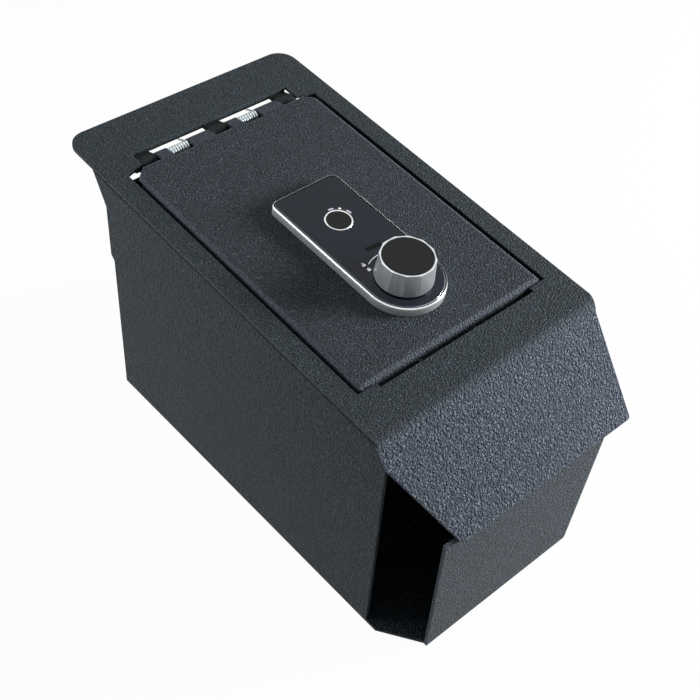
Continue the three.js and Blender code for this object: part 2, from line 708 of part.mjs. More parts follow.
// Tube of few sides along a list of points, its rings held square to the path and level to X
const wireTube = (path, radius, sides) => {
  const positions = [];
  const index = [];
  path.forEach((point, i) => {
    const before = point.clone().sub(path[Math.max(i - 1, 0)]).normalize();
    const after = path[Math.min(i + 1, path.length - 1)].clone().sub(point).normalize();
    const heading = before.add(after).normalize();
    const level = new THREE.Vector3(1, 0, 0).addScaledVector(heading, -heading.x).normalize();
    const across = new THREE.Vector3().crossVectors(heading, level);
    for (let k = 0; k < sides; k += 1) {
      const angle = (2 * Math.PI * k) / sides;
      positions.push(...point.clone()
        .addScaledVector(level, radius * Math.cos(angle))
        .addScaledVector(across, radius * Math.sin(angle)).toArray());
    }
  });
  for (let i = 0; i < path.length - 1; i += 1) {
    for (let k = 0; k < sides; k += 1) {
      const a = i * sides + k;
      const b = i * sides + ((k + 1) % sides);
      index.push(a, b, b + sides, a, b + sides, a + sides);
    }
  }
  const last = (path.length - 1) * sides;
  for (let k = 1; k < sides - 1; k += 1) {
    index.push(0, k + 1, k, last, last + k, last + k + 1);
  }
  const form = new THREE.BufferGeometry();
  form.setAttribute('position', new THREE.Float32BufferAttribute(positions, 3));
  form.setIndex(index);
  form.computeVertexNormals();
  return form;
};

// Least gap of a wire to itself, over points more than half a turn apart along it
const leastSelfGap = (path, radius) => {
  const curve = new THREE.CurvePath();
  for (let i = 0; i < path.length - 1; i += 1) {
    curve.add(new THREE.LineCurve3(path[i], path[i + 1]));
  }
  const points = curve.getSpacedPoints(Math.round(curve.getLength() / radius));
  const apart = Math.ceil((Math.PI * coilRadius) / radius);
  let least = Infinity;
  for (let i = 0; i < points.length; i += 1) {
    for (let j = i + apart; j < points.length; j += 1) {
      least = Math.min(least, points[i].distanceTo(points[j]));
    }
  }
  return least - 2 * radius;
};

['left', 'right'].forEach((side, i) => {
  const path = springPath(hingeBays[i] + springStart);
  console.log(`torsion_spring_${side}: least gap to itself ${leastSelfGap(path, wireRadius).toFixed(2)} mm`);
  place(deck, `torsion_spring_${side}`, wireTube(path, wireRadius, coilSides), zincSteel());
});

// Ledges along the opening's sides, with rubber bumpers that the lid's skirts close on
const bumperTop = skirtFoot - seam;
const lipTop = bumperTop - bumperHeight - seam;
const ledgeEnd = openingLength - ledgeStop;
const uprightFace = openingWidth / 2 + ledgeOffset;
const ledge = (side) => {
  const face = side * uprightFace;
  const corners = [
    [face + side * ledgeSheet, -sheet - seam],
    [face + side * ledgeSheet, lipTop - ledgeSheet],
    [face - side * ledgeLip, lipTop - ledgeSheet],
    [face - side * ledgeLip, lipTop],
    [face, lipTop],
    [face, -sheet - seam],
  ];
  return alongY(corners, ledgeStart, ledgeEnd);
};
const bumperX = uprightFace - ledgeLip + bumperWidth / 2;
const bumper = block(-bumperWidth / 2, bumperWidth / 2, 0, bumperLength, lipTop + seam, bumperTop);
const bumperPlaces = [-bumperX, bumperX].flatMap((x) => [
  [x, ledgeStart], [x, ledgeEnd - bumperLength]]);
place(deck, 'left_ledge', ledge(-1), coatedSteel());
place(deck, 'right_ledge', ledge(1), coatedSteel());
placeEach(deck, 'lid_bumper', bumper, bumperPlaces, blackRubber());

// Strike: a bar under the deck's front edge that the bolt passes beneath
place(deck, 'strike_bar',
  block(-slotHalf, slotHalf, -reliefDepth - strikeDepth, -reliefDepth, -sheet - seam - strikeThickness, -sheet - seam),
  zincSteel());

// Lock panel: a tray with a round front end, its bevelled rim standing round a glass plate
const panelHalf = panelWidth / 2;
const panelFoot = lidTop + seam;
const panelTop = panelFoot + panelHeight;
const panelOutline = (inset) => {
  const side = panelHalf - inset;
  const corner = panelCorner - inset;
  return [
    ...arc(0, knobSetback, side, 180, 360, 32),
    ...arc(side - corner, panelRear - inset - corner, corner, 0, 90, 6),
    ...arc(-side + corner, panelRear - inset - corner, corner, 90, 180, 6),
  ];
};
const spindleBore = spindleDiameter / 2 + slotClearance;
const bore = (radius, y) => disc(radius, boltFoot - coverDepth, panelTop + sheet).translate(0, y, 0);
const bezel = alongZ(panelOutline(0), panelFoot, panelTop - panelBevel)
  .add(lofted(panelOutline(0), panelTop - panelBevel, panelOutline(panelBevel), panelTop))
  .subtract(alongZ(panelOutline(panelRim), panelFoot + panelBase, panelTop + sheet))
  .subtract(bore(spindleHole, knobSetback))
  .subtract(bore(sensorHole, sensorSetback));
place(deck, 'panel_bezel', bezel, chrome());

// A piece of ring between two radii, over an angle about a middle direction
const ringSector = (radius, width, middle, span) => [
  ...arc(0, 0, radius + width / 2, middle - span / 2, middle + span / 2, 8),
  ...arc(0, 0, radius - width / 2, middle + span / 2, middle - span / 2, 8),
];
const glassTop = panelTop - glassInset;
const glassFoot = panelFoot + panelBase + seam;
const portMiddle = 86;            // degrees round the knob's axis
const lightMiddle = 45;           // degrees round the sensor's centre
const lightSpan = 84;
const portDepth = 2;
const portPocket = alongZ(ringSector(portRadius, portWidth + 2 * glassFit, portMiddle, portArc + 1),
  glassTop - portDepth, glassTop + sheet).translate(0, knobSetback, 0);
const lightPocket = alongZ(ringSector(lightRadius, lightWidth + 2 * glassFit, lightMiddle, lightSpan + 3),
  glassTop - lightWidth, glassTop + sheet).translate(0, sensorSetback, 0);
const glassEdge = panelRim + glassFit;
const glass = alongZ(panelOutline(glassEdge), glassFoot, glassTop - glassBevel)
  .add(lofted(panelOutline(glassEdge), glassTop - glassBevel, panelOutline(glassEdge + glassBevel), glassTop))
  .subtract(bore(spindleBore, knobSetback))
  .subtract(bore(sensorDiameter / 2 + glassFit, sensorSetback))
  .subtract(portPocket)
  .subtract(lightPocket);
place(deck, 'panel_glass', glass, darkGlass());
place(deck, 'power_port_cover',
  alongZ(ringSector(portRadius, portWidth, portMiddle, portArc), glassTop - portDepth + glassFit, glassTop)
    .translate(0, knobSetback, 0), blackRubber());
place(deck, 'status_light',
  alongZ(ringSector(lightRadius, lightWidth, lightMiddle, lightSpan), glassTop - lightWidth + glassFit, glassTop)
    .translate(0, sensorSetback, 0), lightLens());

// Fingerprint sensor: a polished ring round a stepped pad whose stem reaches the circuit board
const sensorTop = glassTop + sensorProud;
const ringInner = sensorDiameter / 2 - sensorRing;
const boardTop = lidUnder - boardDrop;
place(deck, 'sensor_ring', turned([
  [ringInner, glassFoot],
  [sensorDiameter / 2, glassFoot],
  [sensorDiameter / 2, sensorTop - sensorRing / 3],
  [sensorDiameter / 2 - sensorRing / 3, sensorTop],
  [ringInner, sensorTop - sensorRing / 3],
  [ringInner, glassFoot],
]).translate(0, sensorSetback, 0), chrome());
place(deck, 'fingerprint_sensor', turned([
  [0, boardTop + seam],
  [sensorHole - seam, boardTop + seam],
  [sensorHole - seam, glassFoot],
  [ringInner - glassFit, glassFoot],
  [ringInner - glassFit, glassTop],
  [0, glassTop],
]).translate(0, sensorSetback, 0), darkGlass());

// Knob: a slightly tapered round body with flats cut into its upper part
const knobFoot = glassTop + knobLift;
const knobHead = knobFoot + knobHeight;
const capSeat = knobHead - capRecess - capThickness - seam;
const cylinderTop = capSeat - seam;
const cylinderFoot = cylinderTop - cylinderLength;
const knobRound = turned([
  [0, knobFoot],
  [knobBase / 2 - knobFillet, knobFoot],
  ...arc(knobBase / 2 - knobFillet, knobFoot + knobFillet, knobFillet, -60, 0, 3),
  [knobTop / 2, knobHead],
  [0, knobHead],
], 6 * knobSides);
const knobFace = (across, z) => Array.from({ length: knobSides }, (_, i) => {
  const angle = (2 * Math.PI * (i + 0.5)) / knobSides;
  const radius = across / 2 / Math.cos(Math.PI / knobSides);
  return [radius * Math.cos(angle), radius * Math.sin(angle), z];
});
const knobFlats = lofted(knobFace(knobBase, 0).map(([x, y]) => [x, y]), knobFoot - seam,
  knobFace(knobFlat, 0).map(([x, y]) => [x, y]), knobHead);
const knob = knobRound
  .intersect(knobFlats)
  .subtract(disc(capDiameter / 2 + glassFit, capSeat, knobHead + sheet, 6 * knobSides))
  .subtract(disc(cylinderDiameter / 2 + glassFit, cylinderFoot - seam, knobHead))
  .subtract(disc(spindleDiameter / 2 + glassFit, knobFoot - sheet, knobHead));
const atKnob = (form) => form.translate(0, knobSetback, 0);
place(deck, 'knob', atKnob(knob), chrome());
place(deck, 'knob_cap', atKnob(disc(capDiameter / 2, capSeat + seam, knobHead - capRecess, 6 * knobSides)),
  blackPlastic());
place(deck, 'key_cylinder', atKnob(disc(cylinderDiameter / 2, cylinderFoot, cylinderTop)
  .subtract(block(-1, 1, -4, 4, cylinderTop - 6, cylinderTop + sheet))), brass());

// Spindle, its bush in the lid, and the crank on its lower end
const crankTop = lidUnder - 2 * seam - bushFlange;
const crankFoot = crankTop - crankThickness;
const crankRadius = boltTravel / 2 / Math.sin(radians(knobTurn) / 2);
place(deck, 'knob_spindle',
  atKnob(disc(spindleDiameter / 2, crankFoot, cylinderFoot - seam, 32)), zincSteel());
place(deck, 'spindle_bush', atKnob(turned([
  [spindleDiameter / 2 + seam, lidUnder - seam - bushFlange],
  [spindleHole + bushWall, lidUnder - seam - bushFlange],
  [spindleHole + bushWall, lidUnder - seam],
  [spindleHole - seam, lidUnder - seam],
  [spindleHole - seam, lidTop],
  [spindleDiameter / 2 + seam, lidTop],
  [spindleDiameter / 2 + seam, lidUnder - seam - bushFlange],
])), brass());
const openAngle = knobTurn / 2;
const crankX = crankRadius * Math.cos(radians(openAngle));
const crankY = crankRadius * Math.sin(radians(openAngle));
const crankReach = crankRadius + crankPin / 2 + crankMargin;
const hub = spindleDiameter / 2 + crankMargin;
const crank = disc(hub, crankFoot, crankTop)
  .add(disc(crankPin / 2 + crankMargin, crankFoot, crankTop, 32).translate(crankX, crankY, 0))
  .add(disc(crankPin / 2, boltFoot, crankTop, 24).translate(crankX, crankY, 0))
  .subtract(disc(spindleDiameter / 2 + glassFit, crankFoot - sheet, crankTop + sheet, 32));
place(deck, 'crank', atKnob(crank), zincSteel());

// Bolt plate: two tongues at the front and a cross slot that the crank's pin drives
const boltFront = lidFront + seam;
const boltBack = boltFront + tongueLength + boltLength;
const boltSlotHalf = crankPin / 2 + slotClearance;
const crossSlot = block(crankX - boltSlotHalf, crankRadius + boltSlotHalf,
  knobSetback + crankY - boltSlotHalf, knobSetback + crankY + boltSlotHalf, boltFoot - sheet, boltTop + sheet);
const boltPlate = joined([
  block(-boltWidth / 2, boltWidth / 2, boltFront + tongueLength, boltBack, boltFoot, boltTop),
  ...[-1, 1].map((side) => alongZ(roundedRectangle(
    side * tongueMiddle - tongueWidth / 2, side * tongueMiddle + tongueWidth / 2,
    boltFront, boltFront + tongueLength + panelCorner, sheet), boltFoot, boltTop)),
]).subtract(crossSlot);
place(deck, 'bolt_plate', boltPlate, zincSteel());

const coverTop = lidUnder - seam;
const coverFoot = coverTop - coverDepth;

// Guides: folded strips under the lid that carry the bolt plate's edges
const guideStart = boltFront + tongueLength + boltTravel;
const guideEnd = guideStart + guideLength - boltTravel;
const guide = (side) => {
  const inner = boltWidth / 2 + seam;
  const lipUpper = boltFoot - seam;
  const points = [
    [inner + guideSheet + guideFoot, lidUnder - seam],
    [inner, lidUnder - seam],
    [inner, lipUpper],
    [inner - guideLip, lipUpper],
    [inner - guideLip, lipUpper - guideSheet],
    [inner + guideSheet, lipUpper - guideSheet],
    [inner + guideSheet, lidUnder - seam - guideSheet],
    [inner + guideSheet + guideFoot, lidUnder - seam - guideSheet],
  ];
  return alongY(points.map(([x, z]) => [side * x, z]), guideStart, guideEnd);
};

// Screw with a domed head below and its shank up into the sheet above
const screw = (seat, length) => turned([
  [0, seat - screwHeadHeight],
  [screwHead / 3, seat - screwHeadHeight],
  [screwHead / 2, seat - screwHeadHeight / 2],
  [screwHead / 2, seat],
  [screwShank / 2, seat],
  [screwShank / 2, seat + length],
  [0, seat + length],
], 16);
const atPlaces = (form, places) => joined(places.map(([x, y]) => form.translate(x, y, 0)));
const screwHoles = (places) => atPlaces(disc(screwShank / 2 + seam, coverFoot - sheet, lidUnder, 16), places);
const fourPlaces = (x, y0, y1) => [[-x, y0], [-x, y1], [x, y0], [x, y1]];
const screwTop = lidUnder - seam;

const guideScrewPlaces = fourPlaces(boltWidth / 2 + seam + guideSheet + guideFoot / 2,
  guideStart + guideFoot, guideEnd - guideFoot);
const guideScrewSeat = lidUnder - 2 * seam - guideSheet;
place(deck, 'bolt_guide_left', guide(-1).subtract(screwHoles(guideScrewPlaces)), zincSteel());
place(deck, 'bolt_guide_right', guide(1).subtract(screwHoles(guideScrewPlaces)), zincSteel());
placeEach(deck, 'guide_screw', screw(guideScrewSeat, screwTop - guideScrewSeat), guideScrewPlaces, zincSteel());

// Lock cover: an open-topped box under the lid, notched for the bolt, with a battery opening
const coverEnd = coverStart + coverLength;
const holderHalf = (cellCount * (cellDiameter + cellGap) + cellGap) / 2 + holderWall;
const guideHalf = boltWidth / 2 + seam + guideSheet + guideFoot;
const coverHalf = Math.max(guideHalf, holderHalf) + coverMargin + coverWall;
const holderLength = cellLength + 2 * contactSpace + 2 * holderWall;
const holderEnd = coverEnd - coverWall - 2 * seam;
const holderStart = holderEnd - holderLength;
const doorFit = seam;
const coverOutline = (inset) => roundedRectangle(-coverHalf + inset, coverHalf - inset,
  coverStart + inset, coverEnd - inset, coverCorner - inset);
const boltNotch = boltWidth / 2 + slotClearance;
const batteryOpening = block(-holderHalf, holderHalf, holderStart, holderEnd, coverFoot - sheet, coverFoot + 2 * coverWall);
const earX = coverHalf + coverEar / 2;
const earPlaces = fourPlaces(earX, coverStart + coverEar, coverEnd - coverEar);
const coverEars = atPlaces(block(-coverEar / 2 - coverWall, coverEar / 2 + coverWall,
  -coverEar / 2, coverEar / 2, coverTop - coverWall, coverTop), earPlaces);
const motorY = guideEnd + motorDiameter / 2 + 2 * seam;
const motorZ = boltFoot - guideSheet - motorDiameter / 2;
const motorTurn = new THREE.Matrix4().makeRotationY(Math.PI / 2).setPosition(0, motorY, motorZ);
const motorCradle = block(-motorLength / 2, motorLength / 2, motorY - motorDiameter / 2, motorY + motorDiameter / 2,
  coverFoot, motorZ).subtract(
  disc(motorDiameter / 2 + seam, -motorLength, motorLength, 32).transform(motorTurn.toArray()));
const lockCover = alongZ(coverOutline(0), coverFoot, coverTop)
  .add(coverEars)
  .subtract(alongZ(coverOutline(coverWall), coverFoot + coverWall, coverTop + sheet))
  .subtract(block(-boltNotch, boltNotch, coverStart - sheet, coverStart + 2 * coverWall, boltFoot - slotClearance, coverTop + sheet))
  .subtract(batteryOpening)
  .subtract(screwHoles(earPlaces))
  .add(motorCradle);
place(deck, 'lock_cover', lockCover, blackPlastic());
const earScrewSeat = coverTop - coverWall - seam;
placeEach(deck, 'cover_screw', screw(earScrewSeat, screwTop - earScrewSeat), earPlaces, zincSteel());
place(deck, 'battery_door', block(-holderHalf + doorFit, holderHalf - doorFit, holderStart + doorFit,
  holderEnd - doorFit, coverFoot, coverFoot + doorThickness), blackPlastic());

// Battery holder with its cells side by side, open towards the door
const cellFoot = coverFoot + doorThickness + seam;
const cellMiddle = cellFoot + cellDiameter / 2;
const holderTop = cellFoot + cellDiameter + seam + holderWall;
const holder = block(-holderHalf, holderHalf, holderStart, holderEnd, coverFoot + 2 * coverWall + seam, holderTop)
  .subtract(block(-holderHalf + holderWall, holderHalf - holderWall,
    holderStart + holderWall, holderEnd - holderWall, coverFoot, holderTop - holderWall));
place(deck, 'battery_holder', holder, blackPlastic());
const alongDeck = new THREE.Matrix4().makeRotationX(-Math.PI / 2);
const cellNub = 2.4;
const cell = turned([
  [0, 0],
  [cellDiameter / 2 - 0.5, 0],
  [cellDiameter / 2, 0.5],
  [cellDiameter / 2, cellLength - 1.5],
  [cellDiameter / 2 - 0.5, cellLength - 1],
  [cellNub, cellLength - 1],
  [cellNub, cellLength],
  [0, cellLength],
], 24).transform(alongDeck.toArray());
for (let i = 0; i < cellCount; i += 1) {
  const x = (i - (cellCount - 1) / 2) * (cellDiameter + cellGap);
  place(deck, `battery_cell_${i + 1}`,
    cell.translate(x, holderStart + holderWall + contactSpace, cellMiddle), cellWrap());
}

// Circuit board under the lid behind the lock, and the motor that frees the crank
const boardStart = sensorSetback - boardLength / 3;
const boardScrewPlaces = fourPlaces(boardWidth / 2 - screwHead, boardStart + screwHead,
  boardStart + boardLength - screwHead);
place(deck, 'circuit_board', block(-boardWidth / 2, boardWidth / 2, boardStart, boardStart + boardLength,
  boardTop - boardThickness, boardTop).subtract(screwHoles(boardScrewPlaces)), boardGreen());
const boardScrewSeat = boardTop - boardThickness - seam;
placeEach(deck, 'board_screw', screw(boardScrewSeat, screwTop - boardScrewSeat), boardScrewPlaces, brass());
const motor = disc(motorDiameter / 2, -motorLength / 2, motorLength / 2, 32)
  .add(disc(1, motorLength / 2 - seam, motorLength / 2 + crankMargin, 16));
place(deck, 'lock_motor', motor.transform(motorTurn.toArray()), zincSteel());

const rearMost = upright(deckRear, -sheet)[0];
const frontMost = upright(...topRun[0])[0];
body.position.set(0, -(frontMost + rearMost) / 2, bodyHeight);

export default part;
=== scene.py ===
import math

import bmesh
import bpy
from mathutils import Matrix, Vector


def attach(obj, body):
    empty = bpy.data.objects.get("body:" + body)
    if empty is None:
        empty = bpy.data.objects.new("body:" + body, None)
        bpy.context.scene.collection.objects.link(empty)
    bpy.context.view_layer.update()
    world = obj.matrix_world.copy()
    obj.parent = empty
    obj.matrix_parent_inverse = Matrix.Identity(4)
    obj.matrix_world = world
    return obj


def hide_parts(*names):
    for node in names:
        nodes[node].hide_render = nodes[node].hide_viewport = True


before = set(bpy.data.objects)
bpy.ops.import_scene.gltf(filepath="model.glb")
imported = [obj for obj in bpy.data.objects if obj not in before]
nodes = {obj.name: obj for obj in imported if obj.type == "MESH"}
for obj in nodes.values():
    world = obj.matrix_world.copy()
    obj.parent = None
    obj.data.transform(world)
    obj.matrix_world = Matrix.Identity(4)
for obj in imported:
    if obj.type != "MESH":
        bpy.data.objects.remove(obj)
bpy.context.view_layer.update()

# %% [markdown]
# # A console safe under soft studio light
#
# The frame that was just loaded is the folded steel safe: deck, walls, lid, lock and hinge, each in
# its place, in metres. This lesson gives every sheet, casting and moulding its finish, and models the
# few pieces that need more than the flat solids give. The deck slopes, so most pieces are drawn in
# the deck's own frame and then laid onto it.

DECK_SLOPE = math.radians(4.2)
DECK_ORIGIN = Vector((0.0, -0.0865533, 0.1521))
DECK = Matrix.Translation(DECK_ORIGIN) @ Matrix.Rotation(DECK_SLOPE, 4, "X") @ Matrix.Scale(0.001, 4)
print("deck origin", tuple(DECK_ORIGIN), "nodes", len(nodes))

# %% [markdown]
# ## The camera
#
# The safe was photographed from its front left corner, from above, with a short telephoto lens. The
# camera's place and turn could be found by eye, but sides and floor have to line up together, so
# they come from matching the deck's straight edges and the feet of the walls.

# %% Camera
lens = bpy.data.cameras.new("studio_camera")
lens.lens = 62.0
lens.sensor_width = 36.0
camera = bpy.data.objects.new("studio_camera", lens)
camera.location = (-0.36122, -0.36757, 0.59696)
camera.rotation_euler = [math.radians(a) for a in (44.2656, -3.5512, -41.5801)]
bpy.context.scene.collection.objects.link(camera)
bpy.context.scene.camera = camera
print("camera at", tuple(round(c, 3) for c in camera.location))

# %% [markdown]
# ## Floor, world and lamps
#
# A product picture on white needs a floor that burns out for the eye but still takes a shadow. The
# floor could be lit until it is white, yet that light would wash out the black coat. Instead the
# camera sees mostly a plain white, mixed with the real shading that holds the shadow.

# %% Small helpers for shader nodes
def add_node(tree, kind, **settings):
    """Adds a node. A setting in capitals first is an input's default, others are properties."""
    node = tree.nodes.new(kind)
    for key, value in settings.items():
        name = key.replace("_", " ")
        if key[0].isupper():
            node.inputs[name].default_value = value
        else:
            setattr(node, key, value)
    return node


def seen_directly(tree):
    """One where a camera, mirror or glass ray arrives, and zero for the light that bounces."""
    path = add_node(tree, "ShaderNodeLightPath")
    first = add_node(tree, "ShaderNodeMath", operation="MAXIMUM")
    second = add_node(tree, "ShaderNodeMath", operation="MAXIMUM")
    tree.links.new(path.outputs["Is Camera Ray"], first.inputs[0])
    tree.links.new(path.outputs["Is Glossy Ray"], first.inputs[1])
    tree.links.new(first.outputs[0], second.inputs[0])
    tree.links.new(path.outputs["Is Transmission Ray"], second.inputs[1])
    return second.outputs[0]


# %% Floor
floor_mesh = bmesh.new()
bmesh.ops.create_grid(floor_mesh, x_segments=1, y_segments=1, size=4.0,
                      matrix=Matrix.Translation((0, 0, -0.0004)))
floor_data = bpy.data.meshes.new("studio_floor")
floor_mesh.to_mesh(floor_data)
floor_mesh.free()
studio_floor = bpy.data.objects.new("studio_floor", floor_data)
bpy.context.scene.collection.objects.link(studio_floor)
white_floor = bpy.data.materials.new("white_floor")
white_floor.use_nodes = True
tree = white_floor.node_tree
paint = tree.nodes["Principled BSDF"]
paint.inputs["Base Color"].default_value = (0.9, 0.9, 0.9, 1)
paint.inputs["Roughness"].default_value = 0.9
glow = add_node(tree, "ShaderNodeEmission", Strength=1.0)
blend = add_node(tree, "ShaderNodeMixShader")
PLAIN_WHITE = 0.965
share = add_node(tree, "ShaderNodeMath", operation="MULTIPLY")
share.inputs[1].default_value = PLAIN_WHITE
tree.links.new(seen_directly(tree), share.inputs[0])
tree.links.new(share.outputs[0], blend.inputs[0])
tree.links.new(paint.outputs[0], blend.inputs[1])
tree.links.new(glow.outputs[0], blend.inputs[2])
tree.links.new(blend.outputs[0], tree.nodes["Material Output"].inputs["Surface"])
studio_floor.data.materials.append(white_floor)
print("floor shows", PLAIN_WHITE, "plain white")

# %% World
world = bpy.data.worlds.new("studio")
bpy.context.scene.world = world
world.use_nodes = True
tree = world.node_tree
background = tree.nodes["Background"]
background.inputs["Color"].default_value = (1, 1, 1, 1)
SKY_LIGHT, SKY_SEEN = 0.15, 1.0
sky = add_node(tree, "ShaderNodeMapRange")
sky.inputs["To Min"].default_value = SKY_LIGHT
sky.inputs["To Max"].default_value = SKY_SEEN
tree.links.new(seen_directly(tree), sky.inputs["Value"])
tree.links.new(sky.outputs["Result"], background.inputs["Strength"])
print("world lights with", SKY_LIGHT, "and shows as", SKY_SEEN)


# %% Lamps
def softbox(name, direction, distance, size, power):
    """A square area lamp that looks at the safe from a direction."""
    lamp = bpy.data.lights.new(name, "AREA")
    lamp.shape = "SQUARE"
    lamp.size = size
    lamp.energy = power
    piece = bpy.data.objects.new(name, lamp)
    aim = Vector((0, 0, 0.1))
    piece.location = aim + Vector(direction).normalized() * distance
    piece.rotation_euler = Vector(direction).normalized().to_track_quat("Z", "Y").to_euler()
    bpy.context.scene.collection.objects.link(piece)


softbox("key_from_front_right", (0.86, -0.55, 0.3), 1.3, 0.45, 28)
softbox("fill_from_rear_left", (-1.0, 0.8, 0.3), 0.8, 0.4, 3.2)
view = bpy.context.scene.view_settings
view.view_transform = "Standard"

# %% [markdown]
# ## Two effects that many finishes share
#
# Powder coat melts into a pebbled skin of cells one to two millimetres across. Fine noise alone looks
# like sand and cells alone look like scales, so the skin mixes the two. Sharp sheet edges catch light
# on a narrow round, which a bevel lookup finds without changing the mesh. Both effects are node groups,
# so each finish sets only its few numbers.

# %% Small helpers for groups and values
def open_group(name, inputs, outputs):
    """An empty node group with its sockets. Gives the group and its two end nodes."""
    group = bpy.data.node_groups.new(name, "ShaderNodeTree")
    for label, kind, value in inputs:
        socket = group.interface.new_socket(name=label, in_out="INPUT", socket_type=kind)
        socket.default_value = value
    for label, kind in outputs:
        group.interface.new_socket(name=label, in_out="OUTPUT", socket_type=kind)
    return group, group.nodes.new("NodeGroupInput"), group.nodes.new("NodeGroupOutput")


def chain(tree, operation, a, b):
    """A maths node on two sockets or numbers, giving its output."""
    node = add_node(tree, "ShaderNodeMath", operation=operation)
    for slot, value in ((0, a), (1, b)):
        if isinstance(value, (int, float)):
            node.inputs[slot].default_value = value
        else:
            tree.links.new(value, node.inputs[slot])
    return node.outputs[0]


def ramp(tree, value, low, high, to_low=0.0, to_high=1.0):
    """Spreads a value from low..high onto to_low..to_high."""
    node = add_node(tree, "ShaderNodeMapRange")
    node.inputs["From Min"].default_value = low
    node.inputs["From Max"].default_value = high
    node.inputs["To Min"].default_value = to_low
    node.inputs["To Max"].default_value = to_high
    tree.links.new(value, node.inputs["Value"])
    return node.outputs["Result"]


# %% Group: pebbled skin
pebble, pebble_in, pebble_out = open_group(
    "pebbled_skin",
    [("Cells per metre", "NodeSocketFloat", 800.0), ("Stretch", "NodeSocketVector", (1, 1, 1))],
    [("Height", "NodeSocketFloat"), ("Fleck", "NodeSocketFloat"), ("Cloud", "NodeSocketFloat")])
place = add_node(pebble, "ShaderNodeTexCoord")
spread = add_node(pebble, "ShaderNodeVectorMath", operation="MULTIPLY")
pebble.links.new(place.outputs["Object"], spread.inputs[0])
pebble.links.new(pebble_in.outputs["Stretch"], spread.inputs[1])
sand = add_node(pebble, "ShaderNodeTexNoise", Detail=2.0, Roughness=0.6)
pebble.links.new(spread.outputs[0], sand.inputs["Vector"])
pebble.links.new(pebble_in.outputs["Cells per metre"], sand.inputs["Scale"])
cells = add_node(pebble, "ShaderNodeTexVoronoi", feature="SMOOTH_F1", Smoothness=0.6)
pebble.links.new(spread.outputs[0], cells.inputs["Vector"])
coarser = chain(pebble, "MULTIPLY", pebble_in.outputs["Cells per metre"], 0.8)
pebble.links.new(coarser, cells.inputs["Scale"])
glint = add_node(pebble, "ShaderNodeTexNoise", Detail=1.0, Roughness=0.5)
pebble.links.new(spread.outputs[0], glint.inputs["Vector"])
finer = chain(pebble, "MULTIPLY", pebble_in.outputs["Cells per metre"], 1.5)
pebble.links.new(finer, glint.inputs["Scale"])
cloud = add_node(pebble, "ShaderNodeTexNoise", Scale=22.0, Detail=3.0, Roughness=0.6)
pebble.links.new(place.outputs["Object"], cloud.inputs["Vector"])
domes = ramp(pebble, cells.outputs["Distance"], 0.0, 0.8, 1.0, 0.0)
mixed = chain(pebble, "ADD", chain(pebble, "MULTIPLY", domes, 0.45),
              chain(pebble, "MULTIPLY", sand.outputs["Fac"], 0.55))
pebble.links.new(mixed, pebble_out.inputs["Height"])
pebble.links.new(ramp(pebble, glint.outputs["Fac"], 0.54, 0.68), pebble_out.inputs["Fleck"])
pebble.links.new(ramp(pebble, cloud.outputs["Fac"], 0.3, 0.7), pebble_out.inputs["Cloud"])

# %% Group: caught edges
catch, catch_in, catch_out = open_group(
    "caught_edges", [("Round", "NodeSocketFloat", 0.0006)],
    [("Edge", "NodeSocketFloat"), ("Normal", "NodeSocketVector")])
rounding = add_node(catch, "ShaderNodeBevel", samples=6)
catch.links.new(catch_in.outputs["Round"], rounding.inputs["Radius"])
plain = add_node(catch, "ShaderNodeNewGeometry")
facing = add_node(catch, "ShaderNodeVectorMath", operation="DOT_PRODUCT")
catch.links.new(rounding.outputs["Normal"], facing.inputs[0])
catch.links.new(plain.outputs["Normal"], facing.inputs[1])
catch.links.new(ramp(catch, facing.outputs["Value"], 0.995, 0.9), catch_out.inputs["Edge"])
catch.links.new(rounding.outputs["Normal"], catch_out.inputs["Normal"])
print("groups", [g.name for g in bpy.data.node_groups])


# %% Helpers: a finish and its groups
def new_finish(name, colour, roughness, metallic=0.0, specular=0.5):
    """A material with its plain values on the shader's own sockets."""
    material = bpy.data.materials.new(name)
    material.use_nodes = True
    shader = material.node_tree.nodes["Principled BSDF"]
    shader.inputs["Base Color"].default_value = (*colour, 1)
    shader.inputs["Roughness"].default_value = roughness
    shader.inputs["Metallic"].default_value = metallic
    shader.inputs["Specular IOR Level"].default_value = specular
    return material, material.node_tree, shader


def use_group(tree, group, **values):
    """Puts a group into a material, with some of its inputs set."""
    node = add_node(tree, "ShaderNodeGroup")
    node.node_tree = group
    for key, value in values.items():
        node.inputs[key.replace("_", " ")].default_value = value
    return node


# %% Helpers: colour, relief, and wearing a finish
def tint(tree, factor, dark, light):
    """Mixes two colours, each a socket or three numbers."""
    node = add_node(tree, "ShaderNodeMix", data_type="RGBA")
    tree.links.new(factor, node.inputs["Factor"])
    for slot, value in ((6, dark), (7, light)):
        if isinstance(value, tuple):
            node.inputs[slot].default_value = (*value, 1)
        else:
            tree.links.new(value, node.inputs[slot])
    return node.outputs[2]


def relief(tree, shader, height, depth, under):
    """Bumps a shader's normal, starting from the one under it, by a height map. depth is in metres."""
    bump = add_node(tree, "ShaderNodeBump", Strength=1.0, Distance=depth)
    tree.links.new(height, bump.inputs["Height"])
    tree.links.new(under, bump.inputs["Normal"])
    tree.links.new(bump.outputs["Normal"], shader.inputs["Normal"])


def wear(material, *names):
    """Gives nodes of the frame a finish through their own material slots."""
    for name in names:
        for slot in nodes[name].material_slots:
            slot.material = material
